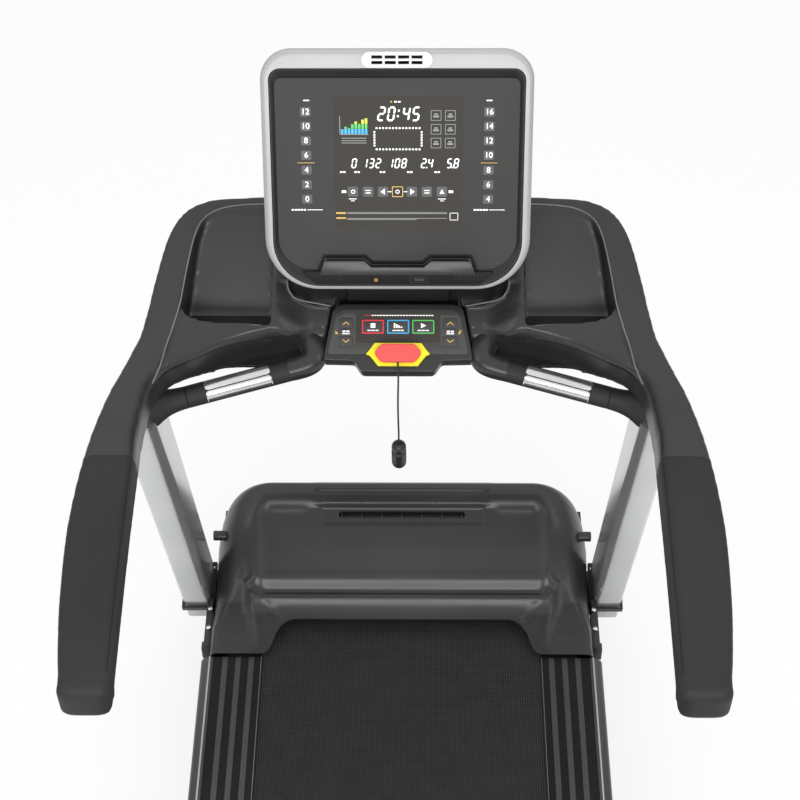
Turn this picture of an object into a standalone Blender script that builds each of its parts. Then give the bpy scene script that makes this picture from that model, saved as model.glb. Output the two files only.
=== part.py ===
"""Commercial treadmill: floor frame, tilting deck, uprights, console tray, handrails and display head.

Metres. +X to the user's right, +Y forward from the user to the console, +Z up. The origin is on the
floor, under the middle of the machine.
"""

import math

import bmesh
import bpy
from mathutils import Matrix, Vector

# ---- driving sizes -------------------------------------------------------------------------------

GAP = 0.0003  # between pieces that touch
RUNNING_GAP = 0.0003  # radial, round a turning shaft
OVERRUN = 0.01  # how far a cutter runs past the face that it opens

OVERALL_LENGTH = 2.04
REAR_END = -OVERALL_LENGTH / 2
FRONT_END = OVERALL_LENGTH / 2
CONSOLE_SETBACK = 0.400
CONSOLE_Y = FRONT_END - CONSOLE_SETBACK

# floor frame
FOOT_HEIGHT = 0.012
FOOT_WIDTH = 0.036
FOOT_LENGTH = 0.060
FOOT_EDGE = 0.002
TUBE_HEIGHT = 0.040
TUBE_WALL = 0.003
BASE_RAIL_INNER = 0.300
BASE_RAIL_WIDTH = 0.040
BASE_RAIL_SETBACK_REAR = 0.070
BASE_RAIL_SETBACK_FRONT = 0.240
BASE_TOP = FOOT_HEIGHT + TUBE_HEIGHT
BASE_RAIL_REAR = REAR_END + BASE_RAIL_SETBACK_REAR
BASE_RAIL_FRONT = FRONT_END - BASE_RAIL_SETBACK_FRONT

# running deck
BEAM_INNER = 0.325
BEAM_OUTER = 0.375
BEAM_BOTTOM = 0.095
BEAM_HEIGHT = 0.085
BEAM_TOP = BEAM_BOTTOM + BEAM_HEIGHT
BEAM_SETBACK_REAR = 0.045
BEAM_SETBACK_FRONT = 0.130
BEAM_REAR = REAR_END + BEAM_SETBACK_REAR
BEAM_FRONT = FRONT_END - BEAM_SETBACK_FRONT
BOARD_THICKNESS = 0.025
BOARD_HALF_WIDTH = 0.345
CUSHION_HEIGHT = 0.007
CUSHION_RADIUS = 0.009
CUSHION_COUNT = 6
BOARD_BOTTOM = BEAM_TOP + CUSHION_HEIGHT + GAP
BOARD_TOP = BOARD_BOTTOM + BOARD_THICKNESS
BELT_THICKNESS = 0.0022
BELT_WIDTH = 0.550
BELT_TOP = BOARD_TOP + GAP + BELT_THICKNESS
ROLLER_RADIUS = 0.0375
ROLLER_SHAFT_RADIUS = 0.010
ROLLER_FACE = 0.560
ROLLER_Z = BOARD_TOP + GAP - RUNNING_GAP - ROLLER_RADIUS
REAR_ROLLER_SETBACK = 0.045
FRONT_ROLLER_SETBACK = 0.400
REAR_ROLLER_Y = BEAM_REAR + REAR_ROLLER_SETBACK
FRONT_ROLLER_Y = FRONT_END - FRONT_ROLLER_SETBACK
BOARD_ROLLER_GAP = 0.006
CUSHION_INSET = 0.010

# foot rails
RAIL_INNER = 0.272
RAIL_OUTER = 0.393
RAIL_SKIN = 0.004
RAIL_RISE = 0.007
RAIL_TOP = BELT_TOP + RAIL_RISE
RAIL_LIP_GAP = 0.0012
RAIL_SKIRT = 0.012
RAIL_SKIRT_BOTTOM = BEAM_TOP - RAIL_SKIRT
RAIL_FRONT_SETBACK = 0.520
RAIL_FRONT = FRONT_END - RAIL_FRONT_SETBACK
RIB_HEIGHT = 0.0016
RIB_WIDTH = 0.010
RIB_PITCH = 0.0255
RIB_FIRST = 0.016
RAIL_SEAT_GAP = 0.006
RAIL_SEAT_MARGIN = 0.002
REAR_COVER_DROP = 0.005
REAR_COVER_WALL = 0.010
REAR_COVER_EDGE = 0.006

# deck hinge and incline drive
HINGE_Z = 0.075
HINGE_SETBACK = 0.120
HINGE_Y = REAR_END + HINGE_SETBACK
HINGE_PIN_RADIUS = 0.008
HINGE_LUG_RADIUS = 0.0155
HINGE_LUG_THICKNESS = 0.010
ARM_HINGE_SETBACK = 0.880
ARM_HINGE_Y = FRONT_END - ARM_HINGE_SETBACK
ARM_HINGE_Z = 0.075
ARM_LENGTH = 0.450
ARM_HALF_SPAN = 0.180
ARM_TUBE_RADIUS = 0.014
ARM_JOURNAL_RADIUS = 0.008
LIFT_ROLLER_RADIUS = 0.012
CRANK_LENGTH = 0.045
CRANK_PIN_RADIUS = 0.006
CRANK_CHEEK = 0.006
EYE_HALF_WIDTH = 0.008
EYE_SLOT_CLEARANCE = 0.0008
EYE_SLOT_DROP = 0.007
EYE_WALL = 0.006
EYE_END = 0.004
ARM_BAR_HALF = 0.010
LIFT_PLATE_MARGIN = 0.040
LIFT_PLATE_LENGTH = 0.036
LUG_SIDE_GAP = 0.004
SCREW_RADIUS = 0.007
INCLINE_MOTOR_HALF_WIDTH = 0.040
INCLINE_MOTOR_LENGTH = 0.200
INCLINE_MOTOR_TOP = 0.133
INCLINE_MOTOR_EDGE = 0.006
SCREW_DROP = 0.0055
SCREW_END = 0.004

# drive
MOTOR_SETBACK = 0.220
MOTOR_Y = FRONT_END - MOTOR_SETBACK
MOTOR_Z = 0.190
MOTOR_RADIUS = 0.052
MOTOR_LEFT = -0.262
MOTOR_RIGHT = -0.090
ROLLER_PULLEY_RADIUS = 0.0425
MOTOR_PULLEY_RADIUS = 0.0225
PULLEY_INNER = 0.300
PULLEY_WIDTH = 0.018
FLYWHEEL_RADIUS = 0.046
FLYWHEEL_WIDTH = 0.014
ROTOR_SHAFT_RADIUS = 0.0075
DRIVE_BELT_THICKNESS = 0.003
DRIVE_BELT_MARGIN = 0.001
MOTOR_SHOULDER = 0.012
MOTOR_NECK_RADIUS = 0.042
MOTOR_FOOT_MARGIN = 0.020
MOTOR_FOOT_RISE = 0.023
ROTOR_SEAT_DEPTH = 0.020
ROTOR_END_GAP = 0.003
FLYWHEEL_GAP = 0.004
BOARD_REAR = REAR_ROLLER_Y + ROLLER_RADIUS + BOARD_ROLLER_GAP
BOARD_FRONT = FRONT_ROLLER_Y - ROLLER_PULLEY_RADIUS - DRIVE_BELT_THICKNESS - BOARD_ROLLER_GAP
PAN_THICKNESS = 0.004
PAN_RISE = 0.005
PAN_BOTTOM = BEAM_BOTTOM + PAN_RISE
PAN_OVERLAP = 0.025
PAN_REAR = ARM_HINGE_Y + ARM_LENGTH - PAN_OVERLAP
PAN_FRONT = BEAM_FRONT - PAN_RISE

# hood
HOOD_HALF_WIDTH = 0.3755
HOOD_WALL = 0.0035
HOOD_EDGE = 0.026
HOOD_CREST = 0.382
HOOD_REAR_LIP = 0.243
HOOD_REAR_SETBACK = 0.443
HOOD_LIP_HALF = 0.245
HOOD_WING_INNER = 0.300
HOOD_WING_BEND = 0.285
HOOD_WING_STEP = 0.020
HOOD_SLOT_GAP = 0.0025
HOOD_SLOT_MARGIN = 0.003
# the hood's side view: distance back from the front end, height over the rear lip
HOOD_NOSE = ((0.000, -0.133), (0.020, -0.108), (0.060, -0.068), (0.120, 0.012), (0.185, 0.097))
HOOD_NOSE += ((0.220, HOOD_CREST - HOOD_REAR_LIP), (0.245, HOOD_CREST - HOOD_REAR_LIP - 0.006))
HOOD_NOSE += ((0.290, 0.108), (0.403, 0.045), (0.431, 0.010))
HOOD_WING_DROP = 0.012
# the hood's plan: inwards from the side, back from the front end
HOOD_CORNER = ((0.000, 0.125), (0.018, 0.075), (0.045, 0.030), (0.085, 0.000))
# the hood's shoulders seen from the end: inwards from the side, down from the crest
HOOD_SHOULDER = ((0.000, 0.130), (0.006, 0.080), (0.022, 0.034), (0.050, 0.008), (0.090, -0.002))

# uprights
UPRIGHT_WIDTH = 0.058
UPRIGHT_DEPTH = 0.090
UPRIGHT_WALL = 0.004
UPRIGHT_INNER = 0.385
UPRIGHT_BOTTOM = 0.105
UPRIGHT_TOP = 1.008
UPRIGHT_LEAN = math.radians(16.0)
UPRIGHT_SETBACK = 0.302
UPRIGHT_FOOT_Y = FRONT_END - UPRIGHT_SETBACK
PLATE_THICKNESS = 0.006
PLATE_TOP = 0.152
PLATE_LENGTH = 0.090
CROSSBAR_HEIGHT = 0.030
COLLAR_Z = 0.170
COLLAR_HEIGHT = 0.016
COLLAR_RIM = 0.0045
HANDRAIL_TUBE_RADIUS = 0.015
HANDRAIL_X = 0.402
HANDRAIL_BEND = 0.012

# transport wheels
WHEEL_RADIUS = 0.030
WHEEL_WIDTH = 0.022
WHEEL_LIFT = 0.004
WHEEL_AXLE_RADIUS = 0.006
WHEEL_BRACKET = 0.006
WHEEL_INNER = 0.262
WHEEL_REACH = 0.042
WHEEL_Y = BASE_RAIL_FRONT + TUBE_HEIGHT + WHEEL_REACH

# console tray and arms
TRAY_WALL = 0.004
TRAY_EDGE = 0.006
TRAY_LOW = 0.900
TRAY_HIGH = 1.400
UNDERSIDE_THICKNESS = 0.003
TRAY_BACK = CONSOLE_Y + 0.1150
POD_NOTCH_Y = CONSOLE_Y - 0.0580
POD_NOTCH_HALF = 0.1300
POD_NOTCH_SLOPE = 0.006
ARM_SEAM_Y = CONSOLE_Y - 0.3180
SLEEVE_END_Y = CONSOLE_Y - 0.6980
SLEEVE_EDGE = 0.014
SLEEVE_TIP = 0.012
SLEEVE_TIP_HALF = 0.0135
SLEEVE_NOSE_HALF = 0.028
SLEEVE_NOSE_X = 0.4385
HANDRAIL_END_GAP = 0.040
HEAD_RECESS_HALF = 0.2125
HEAD_RECESS_Y = CONSOLE_Y - 0.0280
HEAD_RECESS_Z = 1.095
HEAD_RECESS_BACK = CONSOLE_Y + 0.0850
TUB_INNER = 0.216
TUB_OUTER = 0.347
TUB_BACK_OUTER = 0.300
TUB_FRONT_Y = CONSOLE_Y - 0.0580
TUB_CORNER_Y = CONSOLE_Y - 0.0180
TUB_BACK_Y = CONSOLE_Y + 0.0920
TUB_FLOOR = 1.075
TUB_FLOOR_BACK = CONSOLE_Y - 0.0160
TUB_LEAN_BACK = CONSOLE_Y + 0.0980
TUB_LEAN_TOP = 1.200
NECK_HALF_WIDTH = 0.088
NECK_INSET = 0.003
NECK_FOOT_Y = CONSOLE_Y + 0.0800
NECK_HEAD_Y = CONSOLE_Y + 0.0320
# right-hand outlines from the sleeve's end to the tray's back: x, and y from the console's middle
SLEEVE_OUTER = [(0.4766, -0.665), (0.4815, -0.560), (0.4805, -0.440), (0.4675, -0.318)]
SLEEVE_INNER = [(0.3975, -0.318), (0.4040, -0.440), (0.4045, -0.560), (0.4020, -0.665)]
ARM_OUTER = [(0.4475, -0.227), (0.4210, -0.152), (0.4045, -0.092), (0.3885, -0.009), (0.3740, 0.051)]
ARM_OUTER += [(0.3600, 0.082), (0.3400, 0.102), (0.3050, 0.115)]
ARM_INNER = [(0.3960, -0.275), (0.3900, -0.220), (0.3830, -0.180), (0.3640, -0.152)]
ARM_INNER += [(0.3440, -0.133), (0.2710, -0.083), (0.2050, -0.065)]
# side view of the top and the underside: y from the console's middle, and z
TOP_LINE = [(-0.75, 1.012), (-0.65, 1.033), (-0.44, 1.073), (-0.318, 1.088), (-0.22, 1.100)]
TOP_LINE += [(-0.09, 1.113), (-0.04, 1.130), (0.02, 1.160), (0.08, 1.190), (0.14, 1.218)]
UNDER_LINE = [(0.14, 1.080), (0.08, 1.066), (-0.02, 1.045), (-0.12, 1.040), (-0.22, 1.034)]
UNDER_LINE += [(-0.318, 1.022), (-0.44, 1.007), (-0.65, 0.967), (-0.75, 0.946)]
SLEEVE_OUTER = [(x, CONSOLE_Y + y) for x, y in SLEEVE_OUTER]
SLEEVE_INNER = [(x, CONSOLE_Y + y) for x, y in SLEEVE_INNER]
ARM_OUTER = [(x, CONSOLE_Y + y) for x, y in ARM_OUTER]
ARM_INNER = [(x, CONSOLE_Y + y) for x, y in ARM_INNER]
TOP_LINE = [(CONSOLE_Y + y, z) for y, z in TOP_LINE]
UNDER_LINE = [(CONSOLE_Y + y, z) for y, z in UNDER_LINE]
TRAY_REACH = SLEEVE_OUTER[1][0] + OVERRUN

# display head, in its own plane: across, up the face, and out towards the user
HEAD_RECLINE = math.radians(25.0)
HEAD_Y = CONSOLE_Y + 0.0295
HEAD_Z = 1.3375
HEAD_WIDTH = 0.414
HEAD_HEIGHT = 0.381
HEAD_DEPTH = 0.090
HEAD_WALL = 0.004
HEAD_TOP_RADIUS = 0.035
HEAD_BOTTOM_RADIUS = 0.080
BEZEL_SIDE = 0.0115
BEZEL_TOP = 0.032
BEZEL_BOTTOM = 0.0135
BEZEL_DEPTH = 0.012
PANEL_MARGIN = 0.005
PANEL_RECESS = 0.0025
PANEL_BOTTOM = 0.048
LEDGE_HALF_WIDTH = 0.122
LEDGE_DEPTH = 0.016
LEDGE_HEIGHT = 0.020
GRILLE_WIDTH = 0.107
GRILLE_HEIGHT = 0.0237
GRILLE_RISE = 0.003
GRILLE_DOWN = 0.0165
IMPELLER_RADIUS = 0.0075
IMPELLER_DEPTH = 0.018
IMPELLER_SHAFT_RADIUS = 0.0015
IMPELLER_HALF_LENGTH = 0.040
CHEEK_THICKNESS = 0.002
HEAD_EDGE = 0.006
BEZEL_TOP_RADIUS = 0.016
BEZEL_INSET = 0.001
PANEL_TOP_RADIUS = 0.012
PANEL_BOTTOM_RADIUS = 0.044
PANEL_PROUD = 0.0004
LEDGE_EDGE = 0.003
LEDGE_BACK = 0.014
LEDGE_TAB_IN = 0.051
LEDGE_TAB_MARGIN = 0.008
LEDGE_TAB_BASE = 0.004
LEDGE_TAB_LOW = 0.0072
LEDGE_TAB_HIGH = 0.0024
GRILLE_CORNER = 0.0116
GRILLE_WINDOW_HALF = 0.009
CHEEK_HALF = 0.008
SLOT_WIDTH = 0.0165
SLOT_PITCH = 0.0200
SLOT_HEIGHT = 0.0050
SLOT_ROW = 0.0042

# keypad pod, in its own plane: across, up the face, and out
POD_TILT = math.radians(29.0)
POD_Y = CONSOLE_Y - 0.0610
POD_Z = 1.0775
POD_HALF_TOP = 0.1035
POD_HALF_BOTTOM = 0.121
POD_HALF_HEIGHT = 0.047
POD_LIP_HALF = 0.068
POD_LIP = 0.019
POD_DEPTH = 0.035
POD_BACK_Y = POD_Y + POD_HALF_HEIGHT * math.cos(POD_TILT) + POD_DEPTH * math.sin(POD_TILT)
TRAY_CENTRE_Y = POD_BACK_Y + GAP
POD_RECESS = 0.0065
POD_LIP_TAPER = 0.010
POD_LIP_SLOPE = 0.002
RECESS_BOTTOM_HALF = 0.1025
RECESS_TOP_HALF = 0.0950
RECESS_HALF_HEIGHT = 0.0290
LABEL_BOTTOM_HALF = 0.1130
LABEL_TOP_HALF = 0.0975
LABEL_HALF_HEIGHT = 0.0380
PANEL_THICKNESS = 0.0012
KEY_CLEARANCE = 0.0004
KEY_RISE = 0.0024
KEY_FOOT = 0.0045
KEY_TRAVEL = 0.0012
SEAT_HALF_WIDTH = 0.0515
SEAT_HALF_HEIGHT = 0.019
SEAT_THICKNESS = 0.006
SEAT_Y = -0.0387
SAFETY_KEY_WIDTH = 0.073
SAFETY_KEY_HEIGHT = 0.030
SAFETY_KEY_THICKNESS = 0.014
SAFETY_KEY_CORNER = 0.0105
SAFETY_KEY_EDGE = 0.003
SEAT_SHOULDER = 0.038
SEAT_EDGE = 0.0015
# key name: centre across, centre up, width, height
KEYS = {
    "stop_key": (-0.0405, 0.0080, 0.035, 0.020),
    "cool_down_key": (0.0, 0.0080, 0.035, 0.020),
    "start_key": (0.0405, 0.0080, 0.035, 0.020),
    "incline_up_key": (-0.0840, 0.0145, 0.022, 0.017),
    "incline_down_key": (-0.0840, -0.0165, 0.022, 0.017),
    "speed_up_key": (0.0840, 0.0145, 0.022, 0.017),
    "speed_down_key": (0.0840, -0.0165, 0.022, 0.017),
}

# pulse grips
GRIP_RADIUS = 0.016
FLARE_RADIUS = 0.025
FLARE_LENGTH = 0.040
FLARE_WAIST_RADIUS = 0.0185
FLARE_WAIST = 0.016
PLATE_TRIM = 0.002
GRIP_OUTER = (0.3780, CONSOLE_Y - 0.1600, 1.0100)
GRIP_INNER = (0.1258, CONSOLE_Y - 0.0990, 1.0380)
PLATE_WRAP = 0.0014
PLATE_START = 0.085
PLATE_SPAN = 0.115

# lanyard
LANYARD_RADIUS = 0.0015
CLIP_RADIUS = 0.0125
CLIP_LENGTH = 0.060
CLIP_END_RADIUS = 0.007
CLIP_SHOULDER = 0.0075
# from the safety key's lower edge: across, out towards the user, and down
LANYARD_ROUTE = [
    (0.0000, 0.0000, 0.0000),
    (0.0000, 0.0050, 0.0022),
    (0.0002, 0.0095, 0.0062),
    (0.0005, 0.0122, 0.0120),
    (0.0006, 0.0134, 0.0190),
    (0.0006, 0.0138, 0.0280),
    (0.0004, 0.0139, 0.0400),
    (0.0001, 0.0139, 0.0540),
    (-0.0002, 0.0139, 0.0680),
    (-0.0004, 0.0139, 0.0840),
    (-0.0004, 0.0139, 0.1000),
    (-0.0003, 0.0139, 0.1160),
    (-0.0001, 0.0139, 0.1320),
    (0.0002, 0.0139, 0.1480),
    (0.0003, 0.0139, 0.1650),
    (0.0003, 0.0139, 0.1820),
]

SIDES = (("left", -1), ("right", 1))

# ---- scene and materials -------------------------------------------------------------------------

for item in list(bpy.data.objects):
    bpy.data.objects.remove(item, do_unlink=True)

parts = bpy.data.collections.new("treadmill")
cutters = bpy.data.collections.new("cutters")
bpy.context.scene.collection.children.link(parts)
bpy.context.scene.collection.children.link(cutters)


def finish(name, colour, roughness, metallic=0.0):
    """A Principled material in one colour."""
    material = bpy.data.materials.new(name)
    material.use_nodes = True
    shader = material.node_tree.nodes["Principled BSDF"]
    shader.inputs["Base Color"].default_value = (*colour, 1.0)
    shader.inputs["Roughness"].default_value = roughness
    shader.inputs["Metallic"].default_value = metallic
    return material


CHARCOAL = finish("charcoal_plastic", (0.035, 0.035, 0.037), 0.45)
SILVER = finish("silver_paint", (0.62, 0.63, 0.64), 0.35)
BLACK_STEEL = finish("black_steel", (0.020, 0.020, 0.021), 0.5)
STEEL = finish("steel", (0.55, 0.55, 0.56), 0.3, 1.0)
RUBBER = finish("rubber", (0.022, 0.022, 0.023), 0.75)
BELT_BLACK = finish("belt", (0.012, 0.012, 0.012), 0.85)
WOOD = finish("board", (0.25, 0.16, 0.09), 0.6)
GLASS_BLACK = finish("display_black", (0.03, 0.028, 0.027), 0.12)
YELLOW = finish("yellow_plastic", (0.80, 0.62, 0.02), 0.4)
RED = finish("red_plastic", (0.75, 0.05, 0.04), 0.4)
WHITE = finish("white_plastic", (0.75, 0.75, 0.75), 0.4)
MOTOR_GREY = finish("motor_grey", (0.10, 0.10, 0.11), 0.5)
LIGHT_GREY = finish("light_grey_paint", (0.50, 0.51, 0.52), 0.35)


# ---- shape helpers -------------------------------------------------------------------------------


def added(name, mesh, material=None):
    """An object in the part's collection, or with no material in the cutters'."""
    obj = bpy.data.objects.new(name, mesh)
    if material is None:
        cutters.objects.link(obj)
        obj.hide_render = True
        obj.display_type = "WIRE"
    else:
        parts.objects.link(obj)
        mesh.materials.append(material)
    return obj


def block(name, low, high, material=None, frame=None):
    """A box between two corners, turned into a frame of its own where one is given."""
    mesh = bpy.data.meshes.new(name)
    bm = bmesh.new()
    bmesh.ops.create_cube(bm, size=1.0)
    size = [b - a for a, b in zip(low, high)]
    middle = [(a + b) / 2 for a, b in zip(low, high)]
    bmesh.ops.scale(bm, vec=size, verts=bm.verts)
    bmesh.ops.translate(bm, vec=middle, verts=bm.verts)
    if frame is not None:
        bmesh.ops.transform(bm, matrix=frame, verts=bm.verts)
    bm.to_mesh(mesh)
    bm.free()
    return added(name, mesh, material)


def rod(name, start, end, radius, material=None, sides=24):
    """A round bar between two points."""
    start, end = Vector(start), Vector(end)
    along = end - start
    turn = along.to_track_quat("Z", "Y").to_matrix().to_4x4()
    mesh = bpy.data.meshes.new(name)
    bm = bmesh.new()
    bmesh.ops.create_cone(
        bm, cap_ends=True, segments=sides, radius1=radius, radius2=radius, depth=along.length
    )
    bmesh.ops.transform(bm, matrix=Matrix.Translation((start + end) / 2) @ turn, verts=bm.verts)
    bm.to_mesh(mesh)
    bm.free()
    obj = added(name, mesh, material)
    smooth(obj)
    return obj


def smooth(obj):
    """Round faces shaded smooth, edges over 40 degrees sharp."""
    obj.data.shade_smooth()
    obj.data.set_sharp_from_angle(angle=math.radians(40))


def rounded(corners, radii, steps=4):
    """An outline with each corner (x, y) turned into an arc of its radius."""
    points = []
    count = len(corners)
    for i, (corner, radius) in enumerate(zip(corners, radii)):
        here = Vector(corner)
        before = (Vector(corners[i - 1]) - here).normalized()
        after = (Vector(corners[(i + 1) % count]) - here).normalized()
        if radius <= 0:
            points.append(tuple(here))
            continue
        half = before.angle(after) / 2
        reach = radius / math.tan(half)
        bisector = (before + after).normalized()
        centre = here + bisector * radius / math.sin(half)
        first = here + before * reach - centre
        sweep = first.angle_signed(here + after * reach - centre)
        for k in range(steps + 1):
            turned_by = Matrix.Rotation(-sweep * k / steps, 2)
            points.append(tuple(centre + turned_by @ first))
    return points


def frame_at(origin, across, up):
    """A matrix whose X runs across, Y runs up and Z out of that plane."""
    x = Vector(across).normalized()
    y = Vector(up).normalized()
    z = x.cross(y)
    turn = Matrix((x, y, z)).transposed().to_4x4()
    return Matrix.Translation(origin) @ turn


ALONG_X = frame_at((0, 0, 0), (0, 1, 0), (0, 0, 1))  # outline in (y, z), extruded along x
ALONG_Y = frame_at((0, 0, 0), (-1, 0, 0), (0, 0, 1))  # outline in (-x, z), extruded along y
ALONG_Z = Matrix.Identity(4)


def prism(name, outlines, low, high, frame, material=None):
    """A flat outline, with any holes, extruded from low to high along its frame's Z."""
    curve = bpy.data.curves.new(name, "CURVE")
    curve.dimensions = "2D"
    curve.fill_mode = "BOTH"
    curve.extrude = (high - low) / 2
    for outline in outlines:
        spline = curve.splines.new("POLY")
        spline.points.add(len(outline) - 1)
        for point, (x, y) in zip(spline.points, outline):
            point.co = (x, y, 0, 1)
        spline.use_cyclic_u = True
    guide = bpy.data.objects.new(name + "_curve", curve)
    cutters.objects.link(guide)
    bpy.context.view_layer.update()
    mesh = bpy.data.meshes.new_from_object(guide.evaluated_get(bpy.context.evaluated_depsgraph_get()))
    mesh.name = name
    bpy.data.objects.remove(guide)
    bm = bmesh.new()
    bm.from_mesh(mesh)
    bmesh.ops.remove_doubles(bm, verts=bm.verts, dist=0.00001)
    if len(outlines) == 1:
        bmesh.ops.dissolve_limit(bm, angle_limit=0.01, verts=bm.verts, edges=bm.edges)
    bmesh.ops.recalc_face_normals(bm, faces=bm.faces)
    bmesh.ops.transform(
        bm, matrix=frame @ Matrix.Translation((0, 0, (low + high) / 2)), verts=bm.verts
    )
    bm.to_mesh(mesh)
    bm.free()
    mesh.materials.clear()
    return added(name, mesh, material)


def turned(name, profile, centre, axis, material=None, steps=24):
    """A profile of (radius, height), top to bottom down its outer side, screwed round an axis."""
    mesh = bpy.data.meshes.new(name)
    bm = bmesh.new()
    verts = [bm.verts.new((radius, 0, height)) for radius, height in profile]
    for a, b in zip(verts, verts[1:]):
        bm.edges.new((a, b))
    bm.to_mesh(mesh)
    bm.free()
    obj = added(name, mesh, material)
    obj.location = centre
    obj.rotation_mode = "QUATERNION"
    obj.rotation_quaternion = Vector(axis).to_track_quat("Z", "Y")
    screw = obj.modifiers.new("turn", "SCREW")
    screw.steps = steps
    screw.render_steps = steps
    screw.use_merge_vertices = True
    screw.merge_threshold = 0.00005
    screw.use_smooth_shade = True
    return obj


def tube(name, points, radius, material=None, resolution=2):
    """A round tube along points, with filled caps, as a mesh."""
    curve = bpy.data.curves.new(name, "CURVE")
    curve.dimensions = "3D"
    curve.bevel_depth = radius
    curve.bevel_resolution = resolution
    curve.use_fill_caps = True
    spline = curve.splines.new("POLY")
    spline.points.add(len(points) - 1)
    for point, place in zip(spline.points, points):
        point.co = (*place, 1)
    guide = bpy.data.objects.new(name + "_curve", curve)
    cutters.objects.link(guide)
    bpy.context.view_layer.update()
    mesh = bpy.data.meshes.new_from_object(guide.evaluated_get(bpy.context.evaluated_depsgraph_get()))
    bpy.data.objects.remove(guide)
    bm = bmesh.new()
    bm.from_mesh(mesh)
    bmesh.ops.remove_doubles(bm, verts=bm.verts, dist=0.00001)
    bmesh.ops.recalc_face_normals(bm, faces=bm.faces)
    bm.to_mesh(mesh)
    bm.free()
    mesh.materials.clear()
    obj = added(name, mesh, material)
    smooth(obj)
    return obj


def shaped(obj, other, operation):
    """A Boolean of another object; the other moves to the cutters."""
    modifier = obj.modifiers.new(operation.lower(), "BOOLEAN")
    modifier.operation = operation
    modifier.solver = "EXACT"
    modifier.object = other
    if other.name in parts.objects:
        parts.objects.unlink(other)
        cutters.objects.link(other)
    other.hide_render = True
    other.display_type = "WIRE"
    return obj


def cut(obj, other):
    return shaped(obj, other, "DIFFERENCE")


def joined(obj, other):
    return shaped(obj, other, "UNION")


def kept_inside(obj, other):
    return shaped(obj, other, "INTERSECT")


def bevelled(obj, width, segments=2, angle=40):
    """Rounded edges."""
    modifier = obj.modifiers.new("edges", "BEVEL")
    modifier.width = width
    modifier.segments = segments
    modifier.limit_method = "ANGLE"
    modifier.angle_limit = math.radians(angle)
    modifier.use_clamp_overlap = True
    return obj


def origin_at(obj, point):
    """The object's origin moved onto its joint's axis, with the shape left where it is."""
    obj.data.transform(Matrix.Translation(-Vector(point)))
    obj.location = point
    return obj


def box_tube(name, low, high, along, material):
    """A square steel tube, open at both ends."""
    obj = block(name, low, high, material)
    inner_low = [v + TUBE_WALL for v in low]
    inner_high = [v - TUBE_WALL for v in high]
    inner_low[along] = low[along] - TUBE_WALL
    inner_high[along] = high[along] + TUBE_WALL
    return cut(obj, block(name + "_bore", inner_low, inner_high))


def mirrored(points, side):
    """Outline points on the right side, or their mirror on the left."""
    return [(side * x, y) for x, y in points]


def span(a, b, side):
    """Low and high of a stretch of x on one side."""
    return (a, b) if side > 0 else (-b, -a)


# ---- floor frame ---------------------------------------------------------------------------------


def floor_frame():
    rail_outer = BASE_RAIL_INNER + BASE_RAIL_WIDTH
    for name, side in SIDES:
        x0, x1 = span(BASE_RAIL_INNER, rail_outer, side)
        box_tube(
            "base_rail_" + name,
            (x0, BASE_RAIL_REAR, FOOT_HEIGHT),
            (x1, BASE_RAIL_FRONT, BASE_TOP),
            1,
            BLACK_STEEL,
        )
        middle = (x0 + x1) / 2
        for place, y in (
            ("rear", BASE_RAIL_REAR + FOOT_LENGTH),
            ("front", BASE_RAIL_FRONT - FOOT_LENGTH),
        ):
            bevelled(
                block(
                    f"foot_{place}_{name}",
                    (middle - FOOT_WIDTH / 2, y - FOOT_LENGTH / 2, 0),
                    (middle + FOOT_WIDTH / 2, y + FOOT_LENGTH / 2, FOOT_HEIGHT - GAP),
                    RUBBER,
                ),
                FOOT_EDGE,
                1,
            )
    reach = BASE_RAIL_INNER - GAP
    rear_cross(reach)
    middle_cross(reach)
    front_cross(rail_outer)


def rear_cross(reach):
    """Cross tube with the two lugs and pins that the deck tilts on."""
    half = TUBE_HEIGHT / 2
    cross = box_tube(
        "base_cross_rear",
        (-reach, HINGE_Y - half, FOOT_HEIGHT),
        (reach, HINGE_Y + half, BASE_TOP),
        0,
        BLACK_STEEL,
    )
    for name, side in SIDES:
        x0, x1 = span(reach - HINGE_LUG_THICKNESS, reach, side)
        lug = prism("hinge_lug_" + name, [lug_outline(FOOT_HEIGHT + TUBE_WALL)], x0, x1, ALONG_X)
        joined(cross, lug)
        pin = rod(
            "hinge_pin_" + name,
            (side * (reach - HINGE_LUG_THICKNESS / 2), HINGE_Y, HINGE_Z),
            (side * (BEAM_INNER - GAP), HINGE_Y, HINGE_Z),
            HINGE_PIN_RADIUS,
        )
        joined(cross, pin)


def lug_outline(foot, steps=8):
    """A lug's side view: a straight foot and a round head on the deck's hinge axis."""
    points = [(HINGE_Y - HINGE_LUG_RADIUS, foot), (HINGE_Y + HINGE_LUG_RADIUS, foot)]
    turn = 0 if foot < HINGE_Z else math.pi
    for k in range(steps + 1):
        angle = turn + math.pi * k / steps
        points.append(
            (
                HINGE_Y + HINGE_LUG_RADIUS * math.cos(angle),
                HINGE_Z + HINGE_LUG_RADIUS * math.sin(angle),
            )
        )
    if foot > HINGE_Z:
        points[0], points[1] = points[1], points[0]
    return points


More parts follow.
